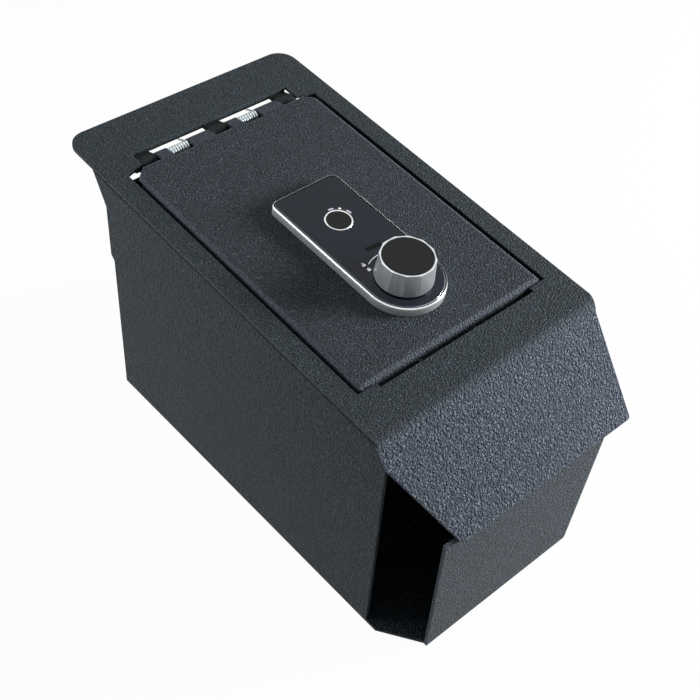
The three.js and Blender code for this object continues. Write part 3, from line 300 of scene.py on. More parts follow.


# %% [markdown]
# ## The powder coat
#
# Every sheet of the body wears the same black coat, but it doesn't lie the same everywhere: on the
# flap, sprayed face on, the pebbles are bold, while the walls are finer and smoother. The flap and
# the front wall get lighter copies of the coat as painted light, the walls and floor a darker copy as
# painted shade, and the folds of the lid a painted highlight. Where the deck's edge meets a wall, a
# fine dark line is painted shade in the seam.
# Painted masks could tell these places apart. Here they are worked out from a point's height over the
# deck and from the way its face looks, so the sheets need no painted layer.

# %% Masks from a point's place and face
DECK_UP = (0.0, -math.sin(DECK_SLOPE), math.cos(DECK_SLOPE))
JOINT_BELOW = 0.0022


def above_deck(tree):
    """Height over the deck's plane, in metres."""
    place = add_node(tree, "ShaderNodeTexCoord")
    offset = add_node(tree, "ShaderNodeVectorMath", operation="SUBTRACT")
    offset.inputs[1].default_value = DECK_ORIGIN
    tree.links.new(place.outputs["Object"], offset.inputs[0])
    lift = add_node(tree, "ShaderNodeVectorMath", operation="DOT_PRODUCT")
    lift.inputs[1].default_value = DECK_UP
    tree.links.new(offset.outputs[0], lift.inputs[0])
    return lift.outputs["Value"]


def level_with_deck(tree):
    """One on faces that lie in the deck's plane, and zero on faces square to it."""
    plain = add_node(tree, "ShaderNodeNewGeometry")
    level = add_node(tree, "ShaderNodeVectorMath", operation="DOT_PRODUCT")
    level.inputs[1].default_value = DECK_UP
    tree.links.new(plain.outputs["True Normal"], level.inputs[0])
    return level.outputs["Value"]


def facing_right(tree):
    """One on faces that look to the right, and minus one on those that look to the left."""
    plain = add_node(tree, "ShaderNodeNewGeometry")
    split = add_node(tree, "ShaderNodeSeparateXYZ")
    tree.links.new(plain.outputs["True Normal"], split.inputs[0])
    return split.outputs["X"]


def seam_shade_line(tree):
    """A mask for painted shade: the fine dark line on the sides, in the seam where the deck's edge meets
    the wall.
    """
    sideways = ramp(tree, chain(tree, "ABSOLUTE", facing_right(tree), 0.0), 0.5, 0.7)
    apart = chain(tree, "ABSOLUTE", chain(tree, "ADD", above_deck(tree), JOINT_BELOW), 0.0)
    return chain(tree, "MULTIPLY", sideways, ramp(tree, apart, 0.0008, 0.0003))


def folds(tree):
    """The rounded folds of a tray that lies in the deck's plane: all of them, and the left one."""
    level = level_with_deck(tree)
    fold = chain(tree, "MULTIPLY", ramp(tree, level, 0.998, 0.96), ramp(tree, level, 0.3, 0.6))
    return fold, chain(tree, "MULTIPLY", fold, ramp(tree, facing_right(tree), -0.05, -0.3))


# %% One layer of the coat
def coat_layer(tree, edge, edge_wear_and_highlight, base, light, cells_per_metre):
    """One version of the coat: its colour, lighter on the edges with wear and a painted highlight, and
    its height.
    """
    skin = use_group(tree, pebble, Cells_per_metre=cells_per_metre)
    speckled = tint(tree, skin.outputs["Fleck"], base, light)
    worn_and_highlit = tint(tree, chain(tree, "MULTIPLY", edge.outputs["Edge"], edge_wear_and_highlight), speckled, light)
    clouded = tint(tree, ramp(tree, skin.outputs["Cloud"], 0, 1, 0.0, 0.25), worn_and_highlit,
                   tuple(1.6 * c for c in base))
    return clouded, skin.outputs["Height"]


# %% The whole coat on one sheet
FLAP_FROM, FLAP_FULL, FLAP_BOLDNESS = -0.112, -0.118, 1.5
# Colours of the painted shade in the side seam and of the painted highlight on the lid's left fold.
seam_shade_black, fold_patch_highlight = (0.006, 0.007, 0.007), (0.26, 0.29, 0.36)


def powder_coat(name, base, light, cells_per_metre, depth, roughness, flap=None, edge_round=0.0008,
                edge_wear_and_highlight=0.5, fold_highlight_colour=None):
    """The coat on one sheet. flap is the bolder version that lies on the front slope, in lighter colours
    that are painted light. fold_highlight_colour paints a highlight on the folds; without it, a line of
    painted shade goes in the side seam.
    """
    material, tree, shader = new_finish(name, base, roughness, 0.0, 0.1)
    edge = use_group(tree, catch, Round=edge_round)
    colour, height = coat_layer(tree, edge, edge_wear_and_highlight, base, light, cells_per_metre)
    tree.links.new(ramp(tree, height, 0.2, 0.8, roughness + 0.08, roughness - 0.08),
                   shader.inputs["Roughness"])
    if flap:
        place = add_node(tree, "ShaderNodeTexCoord")
        split = add_node(tree, "ShaderNodeSeparateXYZ")
        tree.links.new(place.outputs["Object"], split.inputs[0])
        slope = ramp(tree, split.outputs["Y"], FLAP_FROM, FLAP_FULL)
        # The flap's lighter colours are painted light.
        flap_painted_lit_colour, bold_height = coat_layer(tree, edge, edge_wear_and_highlight, *flap)
        colour = tint(tree, slope, colour, flap_painted_lit_colour)
        boldness = chain(tree, "MULTIPLY", slope, FLAP_BOLDNESS)
        bold_height = chain(tree, "MULTIPLY", bold_height, boldness)
        plain_height = chain(tree, "MULTIPLY", height, chain(tree, "SUBTRACT", 1.0, slope))
        height = chain(tree, "ADD", plain_height, bold_height)
    if fold_highlight_colour:
        # Painted highlight on the folds, patchy on the left fold.
        fold, left_fold = folds(tree)
        colour = tint(tree, chain(tree, "MULTIPLY", fold, 0.8), colour, fold_highlight_colour)
        patchy_fold_highlight = chain(tree, "MULTIPLY", left_fold, ramp(tree, height, 0.35, 0.65, 0.05, 0.75))
        colour = tint(tree, patchy_fold_highlight, colour, fold_patch_highlight)
    else:
        # Painted shade in the seam, with no specular there.
        seam_shade = seam_shade_line(tree)
        colour = tint(tree, seam_shade, colour, seam_shade_black)
        tree.links.new(ramp(tree, seam_shade, 0.0, 1.0, 0.1, 0.0), shader.inputs["Specular IOR Level"])
    tree.links.new(colour, shader.inputs["Base Color"])
    relief(tree, shader, height, depth, edge.outputs["Normal"])
    return material


# %% The coats of this safe
coat_black = (0.025, 0.033, 0.039)
coat_light = (0.15, 0.19, 0.22)
# A lighter copy of the coat on the flap: painted light.
flap_painted_lit_black = (0.046, 0.055, 0.075)
flap_painted_lit_light = (0.26, 0.31, 0.39)
# A darker copy of the coat on the walls and floor: painted shade.
wall_painted_shaded_black = (0.0135, 0.0195, 0.0235)
wall_painted_shaded_light = (0.07, 0.095, 0.115)
deck_coat = powder_coat("deck_coat", coat_black, coat_light, 1250, 0.0017, 0.5,
                        (flap_painted_lit_black, flap_painted_lit_light, 900))
# The lid's edges get wear and a painted highlight, and its folds a painted highlight colour.
lid_coat = powder_coat("lid_coat", (0.025, 0.034, 0.039), (0.19, 0.22, 0.28), 1250, 0.002, 0.5,
                       edge_round=0.0014, edge_wear_and_highlight=1.0, fold_highlight_colour=(0.11, 0.125, 0.16))
wall_coat = powder_coat("wall_coat", wall_painted_shaded_black, wall_painted_shaded_light, 900, 0.0024, 0.5)
# A slightly lighter copy of the coat on the front wall: painted light.
front_coat = powder_coat("front_coat", (0.029, 0.037, 0.044), (0.13, 0.16, 0.19), 1000, 0.002, 0.5)
hinge_coat = powder_coat("hinge_coat", (0.017, 0.02, 0.021), (0.05, 0.055, 0.06), 1500, 0.0006, 0.6)
wear(deck_coat, "top_sheet")
wear(lid_coat, "lid_pan")
wear(wall_coat, "left_wall", "right_wall", "rear_wall", "floor_plate")
wear(front_coat, "front_wall")
wear(hinge_coat, "hinge_leaf", "left_ledge", "right_ledge", "strike_bar")
print("coats", [m.name for m in bpy.data.materials if "coat" in m.name])

# %% [markdown]
# ## Bright metal
#
# Drawn and turned pieces keep faint lines from the tool, so their gloss and their relief follow a
# stretched skin. Plated wire and chrome are cleaner: their rounded edges are real, and only the gloss
# drifts a little. The knob is satin, with a small dull share beside the metal, so that its flats show
# light from the lamps besides what they mirror.

# %% Drawn and turned metal
def brushed(name, colour, roughness, stretch, depth):
    """Metal with fine lines along one direction, in its gloss and in its relief."""
    material, tree, shader = new_finish(name, colour, roughness, 1.0)
    lines = use_group(tree, pebble, Cells_per_metre=900.0, Stretch=stretch)
    edge = use_group(tree, catch, Round=0.0003)
    tree.links.new(ramp(tree, lines.outputs["Height"], 0.2, 0.8, roughness - 0.06, roughness + 0.1),
                   shader.inputs["Roughness"])
    dulled = tint(tree, lines.outputs["Cloud"], colour, tuple(0.8 * c for c in colour))
    tree.links.new(dulled, shader.inputs["Base Color"])
    relief(tree, shader, lines.outputs["Height"], depth, edge.outputs["Normal"])
    return material


# %% Plated and polished metal
def polished(name, colour, smooth, rough, stretch, metallic=1.0):
    """Clean metal on a piece with real rounded edges: only its gloss and tone drift a little."""
    material, tree, shader = new_finish(name, colour, smooth, metallic)
    lines = use_group(tree, pebble, Cells_per_metre=700.0, Stretch=stretch)
    gloss = ramp(tree, lines.outputs["Height"], 0.2, 0.8, smooth, rough)
    tree.links.new(gloss, shader.inputs["Roughness"])
    drift = ramp(tree, lines.outputs["Cloud"], 0, 1, 0.0, 0.3)
    dulled = tint(tree, drift, colour, tuple(0.85 * c for c in colour))
    tree.links.new(dulled, shader.inputs["Base Color"])
    return material


# %% The metals of this safe
zinc = brushed("bright_zinc", (0.78, 0.79, 0.8), 0.25, (0.2, 1.0, 1.0), 0.00002)
wire_zinc = polished("spring_wire_zinc", (0.66, 0.73, 0.75), 0.3, 0.4, (0.2, 1.0, 1.0))
chrome = polished("polished_chrome", (0.86, 0.87, 0.88), 0.14, 0.2, (1, 1, 1))
satin = polished("satin_chrome", (0.82, 0.85, 0.88), 0.3, 0.38, (1.0, 1.0, 0.1), 0.8)
steel = brushed("turned_steel", (0.5, 0.5, 0.51), 0.35, (1, 1, 4), 0.00003)
brass = brushed("turned_brass", (0.62, 0.47, 0.22), 0.3, (1, 1, 4), 0.00003)
wear(chrome, "sensor_ring")
wear(steel, "knob_spindle", "crank", "bolt_plate", "bolt_guide_left", "bolt_guide_right", "lock_motor")
wear(brass, "key_cylinder", "spindle_bush")
print("metals", [m.name for m in (zinc, wire_zinc, chrome, satin, steel, brass)])

# %% [markdown]
# ## Dark mouldings, rubber and foam
#
# Plastic, rubber and foam differ mostly in how rough they are and how coarse their skin is. One recipe
# takes those numbers, and lightens the edges, where a moulding rubs first.

# %% Recipe for a moulding
def moulded(name, colour, light, roughness, cells_per_metre, depth, specular=0.4):
    """A dark skin of cells with lighter edges."""
    material, tree, shader = new_finish(name, colour, roughness, 0.0, specular)
    skin = use_group(tree, pebble, Cells_per_metre=cells_per_metre)
    edge = use_group(tree, catch, Round=0.0003)
    tree.links.new(tint(tree, edge.outputs["Edge"], colour, light), shader.inputs["Base Color"])
    tree.links.new(ramp(tree, skin.outputs["Height"], 0.2, 0.8, roughness - 0.05, roughness + 0.08),
                   shader.inputs["Roughness"])
    relief(tree, shader, skin.outputs["Height"], depth, edge.outputs["Normal"])
    return material


# %% The mouldings of this safe
plastic = moulded("matt_plastic", (0.02, 0.02, 0.022), (0.05, 0.05, 0.055), 0.45, 1600, 0.00006)
disc_plastic = moulded("knob_disc_plastic", (0.005, 0.006, 0.006), (0.02, 0.02, 0.021), 0.5, 2500,
                       0.00003, 0.2)
rubber = moulded("matt_rubber", (0.012, 0.012, 0.012), (0.02, 0.02, 0.02), 0.8, 900, 0.0001)
port_plastic = moulded("port_plastic", (0.002, 0.002, 0.003), (0.05, 0.055, 0.07), 0.3, 1200,
                       0.00002, 0.1)
foam = moulded("closed_foam", (0.016, 0.016, 0.017), (0.02, 0.02, 0.02), 0.95, 700, 0.0006)
board = moulded("board_green", (0.02, 0.11, 0.05), (0.05, 0.2, 0.1), 0.4, 500, 0.00003)
wrap = moulded("cell_wrap", (0.05, 0.055, 0.065), (0.1, 0.1, 0.12), 0.3, 300, 0.00002)
wear(plastic, "lock_cover", "battery_door", "battery_holder")
wear(disc_plastic, "fingerprint_sensor")
wear(port_plastic, "power_port_cover")
wear(rubber, *[f"mounting_hole_plug_{i}" for i in range(1, 5)],
     *[f"lid_bumper_{i}" for i in range(1, 5)])
wear(foam, "floor_mat")
wear(board, "circuit_board")
wear(wrap, *[f"battery_cell_{i}" for i in range(1, 5)])
print("mouldings", [m.name for m in (plastic, disc_plastic, rubber, port_plastic, foam, board, wrap)])

# %% [markdown]
# ## The glass plate
#
# The plate is black glass with a clean gloss and a ground chamfer, which looks much lighter. The
# chamfer could get a material slot of its own. A mask from the way the faces lean gives the same and
# leaves the mesh alone.

# %% Glass plate
glass, tree, shader = new_finish("panel_glass_black", (0.005, 0.01, 0.018), 0.06, 0.0, 0.26)
film = use_group(tree, pebble, Cells_per_metre=60.0)
tree.links.new(ramp(tree, film.outputs["Height"], 0.2, 0.8, 0.04, 0.09), shader.inputs["Roughness"])
clear = tint(tree, film.outputs["Cloud"], (0.002, 0.007, 0.017), (0.004, 0.01, 0.022))
level = level_with_deck(tree)
ground = chain(tree, "MULTIPLY", ramp(tree, level, 0.95, 0.9), ramp(tree, level, 0.3, 0.4))
tree.links.new(tint(tree, ground, clear, (0.42, 0.45, 0.55)), shader.inputs["Base Color"])
wear(glass, "panel_glass")
print("glass", glass.name)

# %% [markdown]
# ## The status light
#
# Behind the pad's ring lies a glossy dark arc with three glowing spots painted on it as glints: a
# bright dot in the middle and a dim streak at each end. They could be three pieces, but the one lens
# gets three soft spots, and the distance to each spot's centre decides how bright a point is.

# %% Status light
def on_deck(x, v, h):
    """A point of the deck's frame, in millimetres, as a place in metres."""
    return DECK @ Vector((x, v, h))


PAD_V, LIGHT_RADIUS, LIGHT_H = 96.1, 9.6, 7.4
# Painted glints: glowing spots on the dark lens, a bright one in the middle and dim ones at the ends.
dim, bright = (0.36, 0.35, 0.44), (0.95, 0.96, 1)
lens_dark, tree, shader = new_finish("lens_painted_glints", (0.004, 0.004, 0.006), 0.1)
shader.inputs["Emission Strength"].default_value = 1.0
spot = add_node(tree, "ShaderNodeTexCoord")
colour = (0.003, 0.003, 0.005)
for angle, reach, glint_colour in ((12, 2.0, dim), (78, 2.0, dim), (46, 0.9, bright)):
    turn = math.radians(angle)
    away = add_node(tree, "ShaderNodeVectorMath", operation="DISTANCE")
    away.inputs[1].default_value = on_deck(LIGHT_RADIUS * math.cos(turn),
                                           PAD_V + LIGHT_RADIUS * math.sin(turn), LIGHT_H)
    tree.links.new(spot.outputs["Object"], away.inputs[0])
    near = ramp(tree, away.outputs["Value"], 0.001 * reach, 0.0007 * reach)
    colour = tint(tree, near, colour, glint_colour)
tree.links.new(colour, shader.inputs["Emission Color"])
tree.links.new(colour, shader.inputs["Base Color"])
wear(lens_dark, "status_light")
print("finishes", len(bpy.data.materials))

# %% [markdown]
# ## The torsion springs
#
# Each spring is one round wire: a leg under the lid, seven turns round the pin and a leg under the
# fixed leaf. A curve with a bevel would give the tube too, but a spun ring with a small step along the
# axis on each turn is exactly how a spring is coiled, and it gives even quads.

# %% Helpers for drawing in the deck's frame
def ring_forward(work, ring, by, turn=None, centre=None):
    """Extrudes an open ring of edges and moves or turns the new ring."""
    made = bmesh.ops.extrude_edge_only(work, edges=ring)["geom"]
    verts = [g for g in made if isinstance(g, bmesh.types.BMVert)]
    edges = [g for g in made if isinstance(g, bmesh.types.BMEdge)]
    new = [e for e in edges if all(v in verts for v in e.verts)]
    bmesh.ops.translate(work, verts=verts, vec=by)
    if turn is not None:
        bmesh.ops.rotate(work, verts=verts, cent=centre, matrix=Matrix.Rotation(turn, 3, "X"))
    return new


def to_piece(work, name, material, body, smooth=True):
    """Makes a piece of a mesh drawn in the deck's frame: sets its normals, lays it on the deck and rides
    it on a body.
    """
    bmesh.ops.recalc_face_normals(work, faces=work.faces)
    bmesh.ops.transform(work, matrix=DECK, verts=work.verts)
    data = bpy.data.meshes.new(name)
    work.to_mesh(data)
    work.free()
    for face in data.polygons:
        face.use_smooth = smooth
    piece = bpy.data.objects.new(name, data)
    bpy.context.scene.collection.objects.link(piece)
    data.materials.append(material)
    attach(piece, body)
    print(name, "faces", len(data.polygons))
    return piece


# %% Torsion springs
PIN_V, PIN_H = 205.4, -4.2                     # the hinge axis, in the deck's frame
COIL, WIRE, PITCH, TURNS = 2.8, 0.7, 1.85, 7   # radii of coil and wire, and the coil's step
LID_EDGE_V, LID_LEG_H = 196.9, -1.5            # where the leg under the lid starts to bend
LEAF_EDGE_V, LEAF_LEG_H = 213.8, -5.3          # where the leg under the leaf ends its bend
LEG = 21.0
LEFT_SPRING_X, RIGHT_SPRING_X = -36.7, 14.9


def wind_spring(name, x0):
    """A leg, its bend onto the coil, the turns, and the bend into the other leg."""
    work = bmesh.new()
    stand = Matrix.Translation((x0, PIN_V - LEG, LID_LEG_H)) @ Matrix.Rotation(math.pi / 2, 4, "X")
    bmesh.ops.create_circle(work, cap_ends=False, segments=10, radius=WIRE, matrix=stand)
    ring = list(work.edges)
    ring = ring_forward(work, ring, (0, LID_EDGE_V - (PIN_V - LEG), 0))
    reach = math.hypot(PIN_V - LID_EDGE_V, LID_LEG_H - PIN_H)
    lean = math.atan2(LID_LEG_H - PIN_H, PIN_V - LID_EDGE_V)
    enter = math.pi - (lean + math.acos(COIL / reach))
    start = Vector((x0, PIN_V + COIL * math.cos(enter), PIN_H + COIL * math.sin(enter)))
    ring = ring_forward(work, ring, start - Vector((x0, LID_EDGE_V, LID_LEG_H)))
    away = math.hypot(LEAF_EDGE_V - PIN_V, LEAF_LEG_H - PIN_H)
    lean = math.atan2(LEAF_LEG_H - PIN_H, LEAF_EDGE_V - PIN_V)
    leave = lean + math.acos(COIL / away)
    sweep = 2 * math.pi * TURNS + enter - leave
    steps = 32 * TURNS
    spun = bmesh.ops.spin(work, geom=ring, cent=(x0, PIN_V, PIN_H), axis=(1, 0, 0),
                          dvec=(PITCH * TURNS / steps, 0, 0), angle=-sweep, steps=steps)
    ring = [g for g in spun["geom_last"] if isinstance(g, bmesh.types.BMEdge)]
    x1 = x0 + PITCH * TURNS
    end = Vector((x1, PIN_V + COIL * math.cos(leave), PIN_H + COIL * math.sin(leave)))
    bend = Vector((x1, LEAF_EDGE_V, LEAF_LEG_H))
    ring = ring_forward(work, ring, bend - end, math.pi / 2 - leave, bend)
    ring_forward(work, ring, (0, PIN_V + LEG - LEAF_EDGE_V, 0))
    bmesh.ops.holes_fill(work, edges=work.edges)
    piece = to_piece(work, name + "_wire", wire_zinc, "safe_body")
    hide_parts(name)


wind_spring("torsion_spring_left", LEFT_SPRING_X)
wind_spring("torsion_spring_right", RIGHT_SPRING_X)

# %% [markdown]
# ## The hinge pin
#
# The pin is a zinc rod with a domed head at its left end, which shows in the opening's corner, and a
# rubber ring keeps it from rattling. A cylinder with a bevel would lack the head. Turning half of its
# outline round the axis, as on a lathe, gives rod, head and chamfers in one closed piece.

# %% Helper: a lathe
def lathe(work, profile, centre, axis, steps):
    """Turns a profile of points all the way round an axis."""
    verts = [work.verts.new(point) for point in profile]
    edges = [work.edges.new(pair) for pair in zip(verts, verts[1:])]
    bmesh.ops.spin(work, geom=verts + edges, cent=centre, axis=axis, angle=2 * math.pi, steps=steps,
                   use_merge=True, dvec=(0, 0, 0))
    bmesh.ops.remove_doubles(work, verts=work.verts, dist=0.001)


# %% Hinge pin
PIN_R, PIN_LEFT, PIN_RIGHT = 1.7, -63.5, 59.9
HEAD_R, HEAD_T = 2.3, 1.2
outline = [(PIN_LEFT, 0), (PIN_LEFT + 0.1, 0.9), (PIN_LEFT + 0.4, 1.7), (PIN_LEFT + 0.8, HEAD_R),
           (PIN_LEFT + HEAD_T, HEAD_R), (PIN_LEFT + HEAD_T, PIN_R), (PIN_RIGHT - 0.6, PIN_R),
           (PIN_RIGHT - 0.15, 1.2), (PIN_RIGHT, 0)]
work = bmesh.new()
lathe(work, [(x, PIN_V, PIN_H + r) for x, r in outline], (0, PIN_V, PIN_H), (1, 0, 0), 32)
pin = to_piece(work, "hinge_pin_rod", zinc, "safe_body")
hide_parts("hinge_pin")

# %% The ring on the pin
RING_LEFT, RING_RIGHT, RING_BORE, RING_R, RING_EDGE = -61.2, -58.0, 1.75, 3.0, 0.2
sleeve = [(RING_LEFT, RING_BORE), (RING_RIGHT, RING_BORE), (RING_RIGHT, RING_R - RING_EDGE),
          (RING_RIGHT - RING_EDGE, RING_R), (RING_LEFT + RING_EDGE, RING_R),
          (RING_LEFT, RING_R - RING_EDGE), (RING_LEFT, RING_BORE)]
work = bmesh.new()
lathe(work, [(x, PIN_V, PIN_H + r) for x, r in sleeve], (0, PIN_V, PIN_H), (1, 0, 0), 32)
spacer = to_piece(work, "pin_spacer", rubber, "safe_body")

# %% [markdown]
# ## The lock panel's frame
#
# The glass lies in a moulded tray. From above only its frame shows: a satin outer wall, a thin polished
# chamfer and a dark groove up to the glass. The outline has straight sides, two small rear corners
# and a half circle in front. Sweeping a curve's bevel would do, but walking one cross-section round
# with extrude and spin keeps the corners exactly round and the profile true.

# %% The frame's metal
frame_metal, tree, shader = new_finish("frame_metal", (0.8, 0.82, 0.84), 0.2, 1.0)
on_top = ramp(tree, above_deck(tree), 0.00685, 0.00695)
skin = use_group(tree, pebble, Cells_per_metre=1500.0)
satin_wall = ramp(tree, skin.outputs["Height"], 0.2, 0.8, 0.5, 0.58)
on_wall = chain(tree, "SUBTRACT", 1.0, on_top)
gloss = chain(tree, "ADD", chain(tree, "MULTIPLY", satin_wall, on_wall),
              chain(tree, "MULTIPLY", on_top, 0.16))
tree.links.new(gloss, shader.inputs["Roughness"])
tree.links.new(tint(tree, on_top, (0.72, 0.74, 0.76), (0.88, 0.89, 0.9)), shader.inputs["Base Color"])
print("frame finish", frame_metal.name)

# %% Helper: a walk round the panel
PANEL_HALF, PANEL_REAR, PANEL_CORNER, KNOB_V = 24.0, 128.5, 5.0, 42.4
WALK_START_V = 90.0


def walk_outline(profile):
    """Carries a closed cross-section, given as inset and height, once round the panel's outline."""
    work = bmesh.new()
    verts = [work.verts.new((PANEL_HALF - inset, WALK_START_V, height)) for inset, height in profile]
    ring = [work.edges.new((a, b)) for a, b in zip(verts, verts[1:] + verts[:1])]

    def turn(ring, x, v, angle, steps):
        around = list({vert for edge in ring for vert in edge.verts})
        spun = bmesh.ops.spin(work, geom=around + ring, cent=(x, v, 0), axis=(0, 0, 1),
                              angle=math.radians(angle), steps=steps, dvec=(0, 0, 0))
        return [g for g in spun["geom_last"] if isinstance(g, bmesh.types.BMEdge)]

    side, rear = PANEL_HALF - PANEL_CORNER, PANEL_REAR - PANEL_CORNER
    ring = ring_forward(work, ring, (0, rear - WALK_START_V, 0))
    ring = turn(ring, side, rear, 90, 8)
    ring = ring_forward(work, ring, (-2 * side, 0, 0))
    ring = turn(ring, -side, rear, 90, 8)
    ring = ring_forward(work, ring, (0, KNOB_V - rear, 0))
    ring = turn(ring, 0, KNOB_V, 180, 48)
    ring_forward(work, ring, (0, WALK_START_V - KNOB_V, 0))
    bmesh.ops.remove_doubles(work, verts=work.verts, dist=0.001)
    return work


# %% Panel frame and tray
PANEL_FOOT, PANEL_TOP = 1.8, 7.5
work = walk_outline([(0.0, PANEL_FOOT), (0.0, 6.92), (0.03, 7.02), (0.11, 7.12), (0.52, 7.44),
                     (0.56, PANEL_TOP), (0.6, 7.44), (0.6, PANEL_FOOT)])
bezel = to_piece(work, "panel_frame", frame_metal, "lid")
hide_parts("panel_bezel")
work = walk_outline([(0.6, PANEL_FOOT), (0.6, 7.42), (0.72, 7.42), (0.75, 6.5), (1.35, 6.5),
                     (1.35, 3.25), (4.6, 3.25), (4.6, PANEL_FOOT)])
tray = to_piece(work, "panel_tray", plastic, "lid", smooth=False)

# %% [markdown]
# ## The knob
#
# The knob is a turned and milled part: round at its foot, twelve flats at its head, a narrow ring
# round the sunk disc. Cutting flats with twelve planes would leave long thin faces, so a cone gets
# its upper ring pushed onto a twelve-sided outline, and the faces between blend from round to flat.
# Small real bevels carry the highlights.

# %% The knob's outline
KNOB_FOOT, KNOB_HEAD, KNOB_BASE_R, KNOB_FLAT = 7.95, 22.95, 16.75, 15.2
SIDES, PER_SIDE = 12, 6
work = bmesh.new()
bmesh.ops.create_cone(work, cap_ends=True, segments=SIDES * PER_SIDE, radius1=KNOB_BASE_R,
                      radius2=KNOB_FLAT, depth=KNOB_HEAD - KNOB_FOOT,
                      matrix=Matrix.Translation((0, 0, (KNOB_HEAD + KNOB_FOOT) / 2)))
for vert in work.verts:
    if vert.co.z > KNOB_FOOT + 1:
        angle = math.atan2(vert.co.y, vert.co.x)
        across = (angle + math.pi / SIDES) % (2 * math.pi / SIDES) - math.pi / SIDES
        reach = KNOB_FLAT / math.cos(across)
        vert.co.x, vert.co.y = reach * math.cos(angle), reach * math.sin(angle)
print("knob outline", len(work.faces), "faces")

# %% The seat for the disc
SEAT_R, SEAT_H = 14.5, 21.2
cap = max(work.faces, key=lambda face: face.calc_center_median().z)
bmesh.ops.inset_region(work, faces=[cap], thickness=0.5, depth=0.0)
for vert in cap.verts:
    angle = math.atan2(vert.co.y, vert.co.x)
    vert.co.x, vert.co.y = SEAT_R * math.cos(angle), SEAT_R * math.sin(angle)
sunk = bmesh.ops.extrude_face_region(work, geom=[cap])["geom"]
bmesh.ops.translate(work, verts=[g for g in sunk if isinstance(g, bmesh.types.BMVert)],
                    vec=(0, 0, SEAT_H - KNOB_HEAD))
left_over = [face for face in work.faces
             if len(face.verts) > 8 and face.calc_center_median().z > KNOB_HEAD - 0.01]
bmesh.ops.delete(work, geom=left_over, context="FACES_ONLY")
print("seat sunk by", round(KNOB_HEAD - SEAT_H, 2), "mm")

# %% The knob's rounded edges
steep = [e for e in work.edges if len(e.link_faces) == 2 and e.calc_face_angle(0) > math.radians(50)]
rims = [e for e in steep if min(v.co.z for v in e.verts) > KNOB_HEAD - 0.01]
foot = [e for e in steep if max(v.co.z for v in e.verts) < KNOB_FOOT + 0.01]
bmesh.ops.bevel(work, geom=rims, offset=0.16, affect="EDGES", segments=2, profile=0.5, material=-1)
bmesh.ops.bevel(work, geom=foot, offset=0.9, affect="EDGES", segments=3, profile=0.5, material=-1)
for edge in work.edges:
    if len(edge.link_faces) == 2 and edge.calc_face_angle(0) > math.radians(16):
        edge.smooth = False
bmesh.ops.translate(work, verts=work.verts, vec=(0, KNOB_V, 0))
knob = to_piece(work, "knob_grip", satin, "knob")
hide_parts("knob")

# %% The disc in the knob
DISC_R, DISC_FOOT, DISC_TOP = 14.3, 21.3, 22.65
outline = [(0, DISC_FOOT), (DISC_R, DISC_FOOT), (DISC_R, DISC_TOP - 0.2), (DISC_R - 0.2, DISC_TOP - 0.03),
           (DISC_R - 0.7, DISC_TOP), (9.0, DISC_TOP - 0.05), (0, DISC_TOP - 0.1)]
work = bmesh.new()
lathe(work, [(r, KNOB_V, h) for r, h in outline], (0, KNOB_V, 0), (0, 0, 1), SIDES * PER_SIDE)
disc = to_piece(work, "knob_disc", disc_plastic, "knob")
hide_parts("knob_cap")

# %% [markdown]
# ## Under the lid
#
# With the lid open its lining shows: a moulded cover held by four screws, with a battery door in it.
# The flat solids carry the sizes, and small pieces on them tell what they are: turned screw heads with
# six-sided sockets, ribs that stiffen the cover, and a grip on the door. One turned profile makes every
# screw, and only the ring round its socket is pushed to six sides.

# %% Helper: a screw with a socket
SCREW_HEAD, SHANK_R, SCREW_TIP = 1.6, 1.3, -0.8
SOCKET_R, SOCKET_FLAT = 1.1, 0.95


def socket_screw(name, x, v, seat, finish):
    """A pan head under the lid, with its shank up into the lid."""
    work = bmesh.new()
    head = seat - SCREW_HEAD
    profile = [(0, head + 0.9), (SOCKET_R, head + 0.85), (SOCKET_R, head + 0.05), (1.3, head),
               (1.9, head + 0.1), (2.35, head + 0.5), (2.5, head + 1.1), (2.5, seat), (SHANK_R, seat),
               (SHANK_R, SCREW_TIP - 0.3), (1.0, SCREW_TIP), (0, SCREW_TIP)]
    lathe(work, [(x + r, v, h) for r, h in profile], (x, v, 0), (0, 0, 1), 24)
    for vert in work.verts:
        across, along = vert.co.x - x, vert.co.y - v
        if abs(math.hypot(across, along) - SOCKET_R) < 0.01 and vert.co.z < seat:
            angle = math.atan2(along, across)
            flat = (angle + math.pi / 6) % (math.pi / 3) - math.pi / 6
            reach = SOCKET_FLAT / math.cos(flat)
            vert.co.x, vert.co.y = x + reach * math.cos(angle), v + reach * math.sin(angle)
    screw = to_piece(work, name + "_turned", finish, "lid")
    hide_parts(name)


def four_screws(kind, half, low, high, seat, finish):
    """Screws at the corners of a rectangle, from low to high along the lid."""
    for i, (x, v) in enumerate(((-half, low), (-half, high), (half, low), (half, high)), start=1):
        socket_screw(f"{kind}_{i}", x, v, seat, finish)


# %% Screws
screw_zinc = polished("screw_zinc", (0.74, 0.75, 0.76), 0.24, 0.34, (1, 1, 1))
four_screws("cover_screw", 41.5, 20.0, 140.0, -3.1, screw_zinc)
four_screws("guide_screw", 28.8, 29.0, 51.0, -2.6, screw_zinc)
four_screws("board_screw", 25.0, 85.1, 123.1, -6.4, brass)

# %% Ribs and grip
COVER_FACE = -29.8
RIB_V, RIB_WIDTH, RIB_LENGTH, RIB_DEPTH = 48.0, 2.2, 58.0, 1.4
GRIP_V, GRIP_STEP, GRIP_WIDTH, GRIP_LENGTH, GRIP_DEPTH = 130.0, 2.4, 18.0, 1.0, 0.9


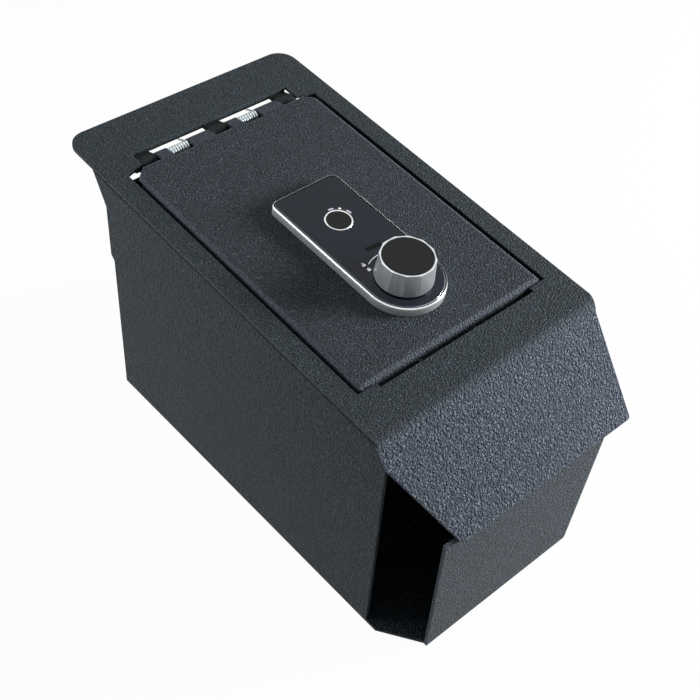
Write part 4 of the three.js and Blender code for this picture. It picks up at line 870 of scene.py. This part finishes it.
def rounded_bar(work, x, v, width, length, height, edge):
    """A low bar on the cover's face, with its outer edges rounded."""
    place = Matrix.Translation((x, v, COVER_FACE)) @ Matrix.Diagonal((width, length, height, 1))
    made = bmesh.ops.create_cube(work, size=1.0, matrix=place)["verts"]
    edges = list({e for vert in made for e in vert.link_edges})
    bmesh.ops.bevel(work, geom=edges, offset=edge, affect="EDGES", segments=3, profile=0.5, material=-1)


work = bmesh.new()
for x in (-27, -9, 9, 27):
    rounded_bar(work, x, RIB_V, RIB_WIDTH, RIB_LENGTH, RIB_DEPTH, 0.5)
cover_ribs = to_piece(work, "cover_ribs", plastic, "lid")
work = bmesh.new()
for step in range(6):
    rounded_bar(work, 0.0, GRIP_V + GRIP_STEP * step, GRIP_WIDTH, GRIP_LENGTH, GRIP_DEPTH, 0.3)
door_grip = to_piece(work, "door_grip", plastic, "lid")

# %% [markdown]
# ## Printed marks on the glass
#
# Two little padlocks and a fine arc beside the knob tell which way it locks. They are printed from
# behind, so they lie in the glass, and a faint painted glow lightens them. A pattern in the glass's
# material would do, but thin flat pieces keep sharp outlines at any distance.

# %% The print's white
white_print = moulded("white_print", (0.8, 0.81, 0.83), (0.85, 0.85, 0.86), 0.4, 2000, 0.00001)
print_painted_glow = white_print.node_tree.nodes["Principled BSDF"]
# A faint painted glow lightens the print.
print_painted_glow.inputs["Emission Color"].default_value = (0.85, 0.87, 0.9, 1)
print_painted_glow.inputs["Emission Strength"].default_value = 0.35
print("print finish", white_print.name)

# %% Helpers for flat marks
GLASS_H, PRINT_THICK = 7.45, 0.03


def arc_strip(work, x, v, radius, width, start, end, steps):
    """A flat strip along an arc: a short edge that is spun about the centre."""
    a, b = math.radians(start), math.radians(end)
    ends = [work.verts.new((x + r * math.cos(a), v + r * math.sin(a), GLASS_H))
            for r in (radius - width / 2, radius + width / 2)]
    edge = work.edges.new(ends)
    bmesh.ops.spin(work, geom=[edge, *ends], cent=(x, v, GLASS_H), axis=(0, 0, 1), angle=b - a,
                   steps=steps)


def thicken(work):
    """Gives flat marks a thin body."""
    up = bmesh.ops.extrude_face_region(work, geom=list(work.faces))
    verts = [g for g in up["geom"] if isinstance(g, bmesh.types.BMVert)]
    bmesh.ops.translate(work, verts=verts, vec=(0, 0, PRINT_THICK))


# %% Printed marks
BODY_WIDTH, BODY_LENGTH, SHACKLE_R = 2.1, 1.6, 0.65
ARC_R, ARC_START, ARC_END = 20.4, 88, 118


def padlock(name, x, v, shut):
    """A rounded body with its shackle, closed or with one end lifted out."""
    work = bmesh.new()
    place = Matrix.Translation((x, v, GLASS_H)) @ Matrix.Diagonal((BODY_WIDTH, BODY_LENGTH, 1, 1))
    corners = bmesh.ops.create_grid(work, x_segments=1, y_segments=1, size=0.5, matrix=place)["verts"]
    bmesh.ops.bevel(work, geom=corners, offset=0.4, affect="VERTICES", segments=3, profile=0.5,
                    material=-1)
    lift = 0.8 if shut else 1.1
    arc_strip(work, x, v + lift, SHACKLE_R, 0.4, 0, 180 if shut else 140, 10)
    thicken(work)
    return to_piece(work, name, white_print, "lid", smooth=False)


padlock("mark_open", -12.2, 61.2, False)
padlock("mark_locked", -12.0, 57.0, True)
work = bmesh.new()
arc_strip(work, 0.0, KNOB_V, ARC_R, 0.5, ARC_START, ARC_END, 16)
thicken(work)
to_piece(work, "mark_arc", white_print, "lid", smooth=False)
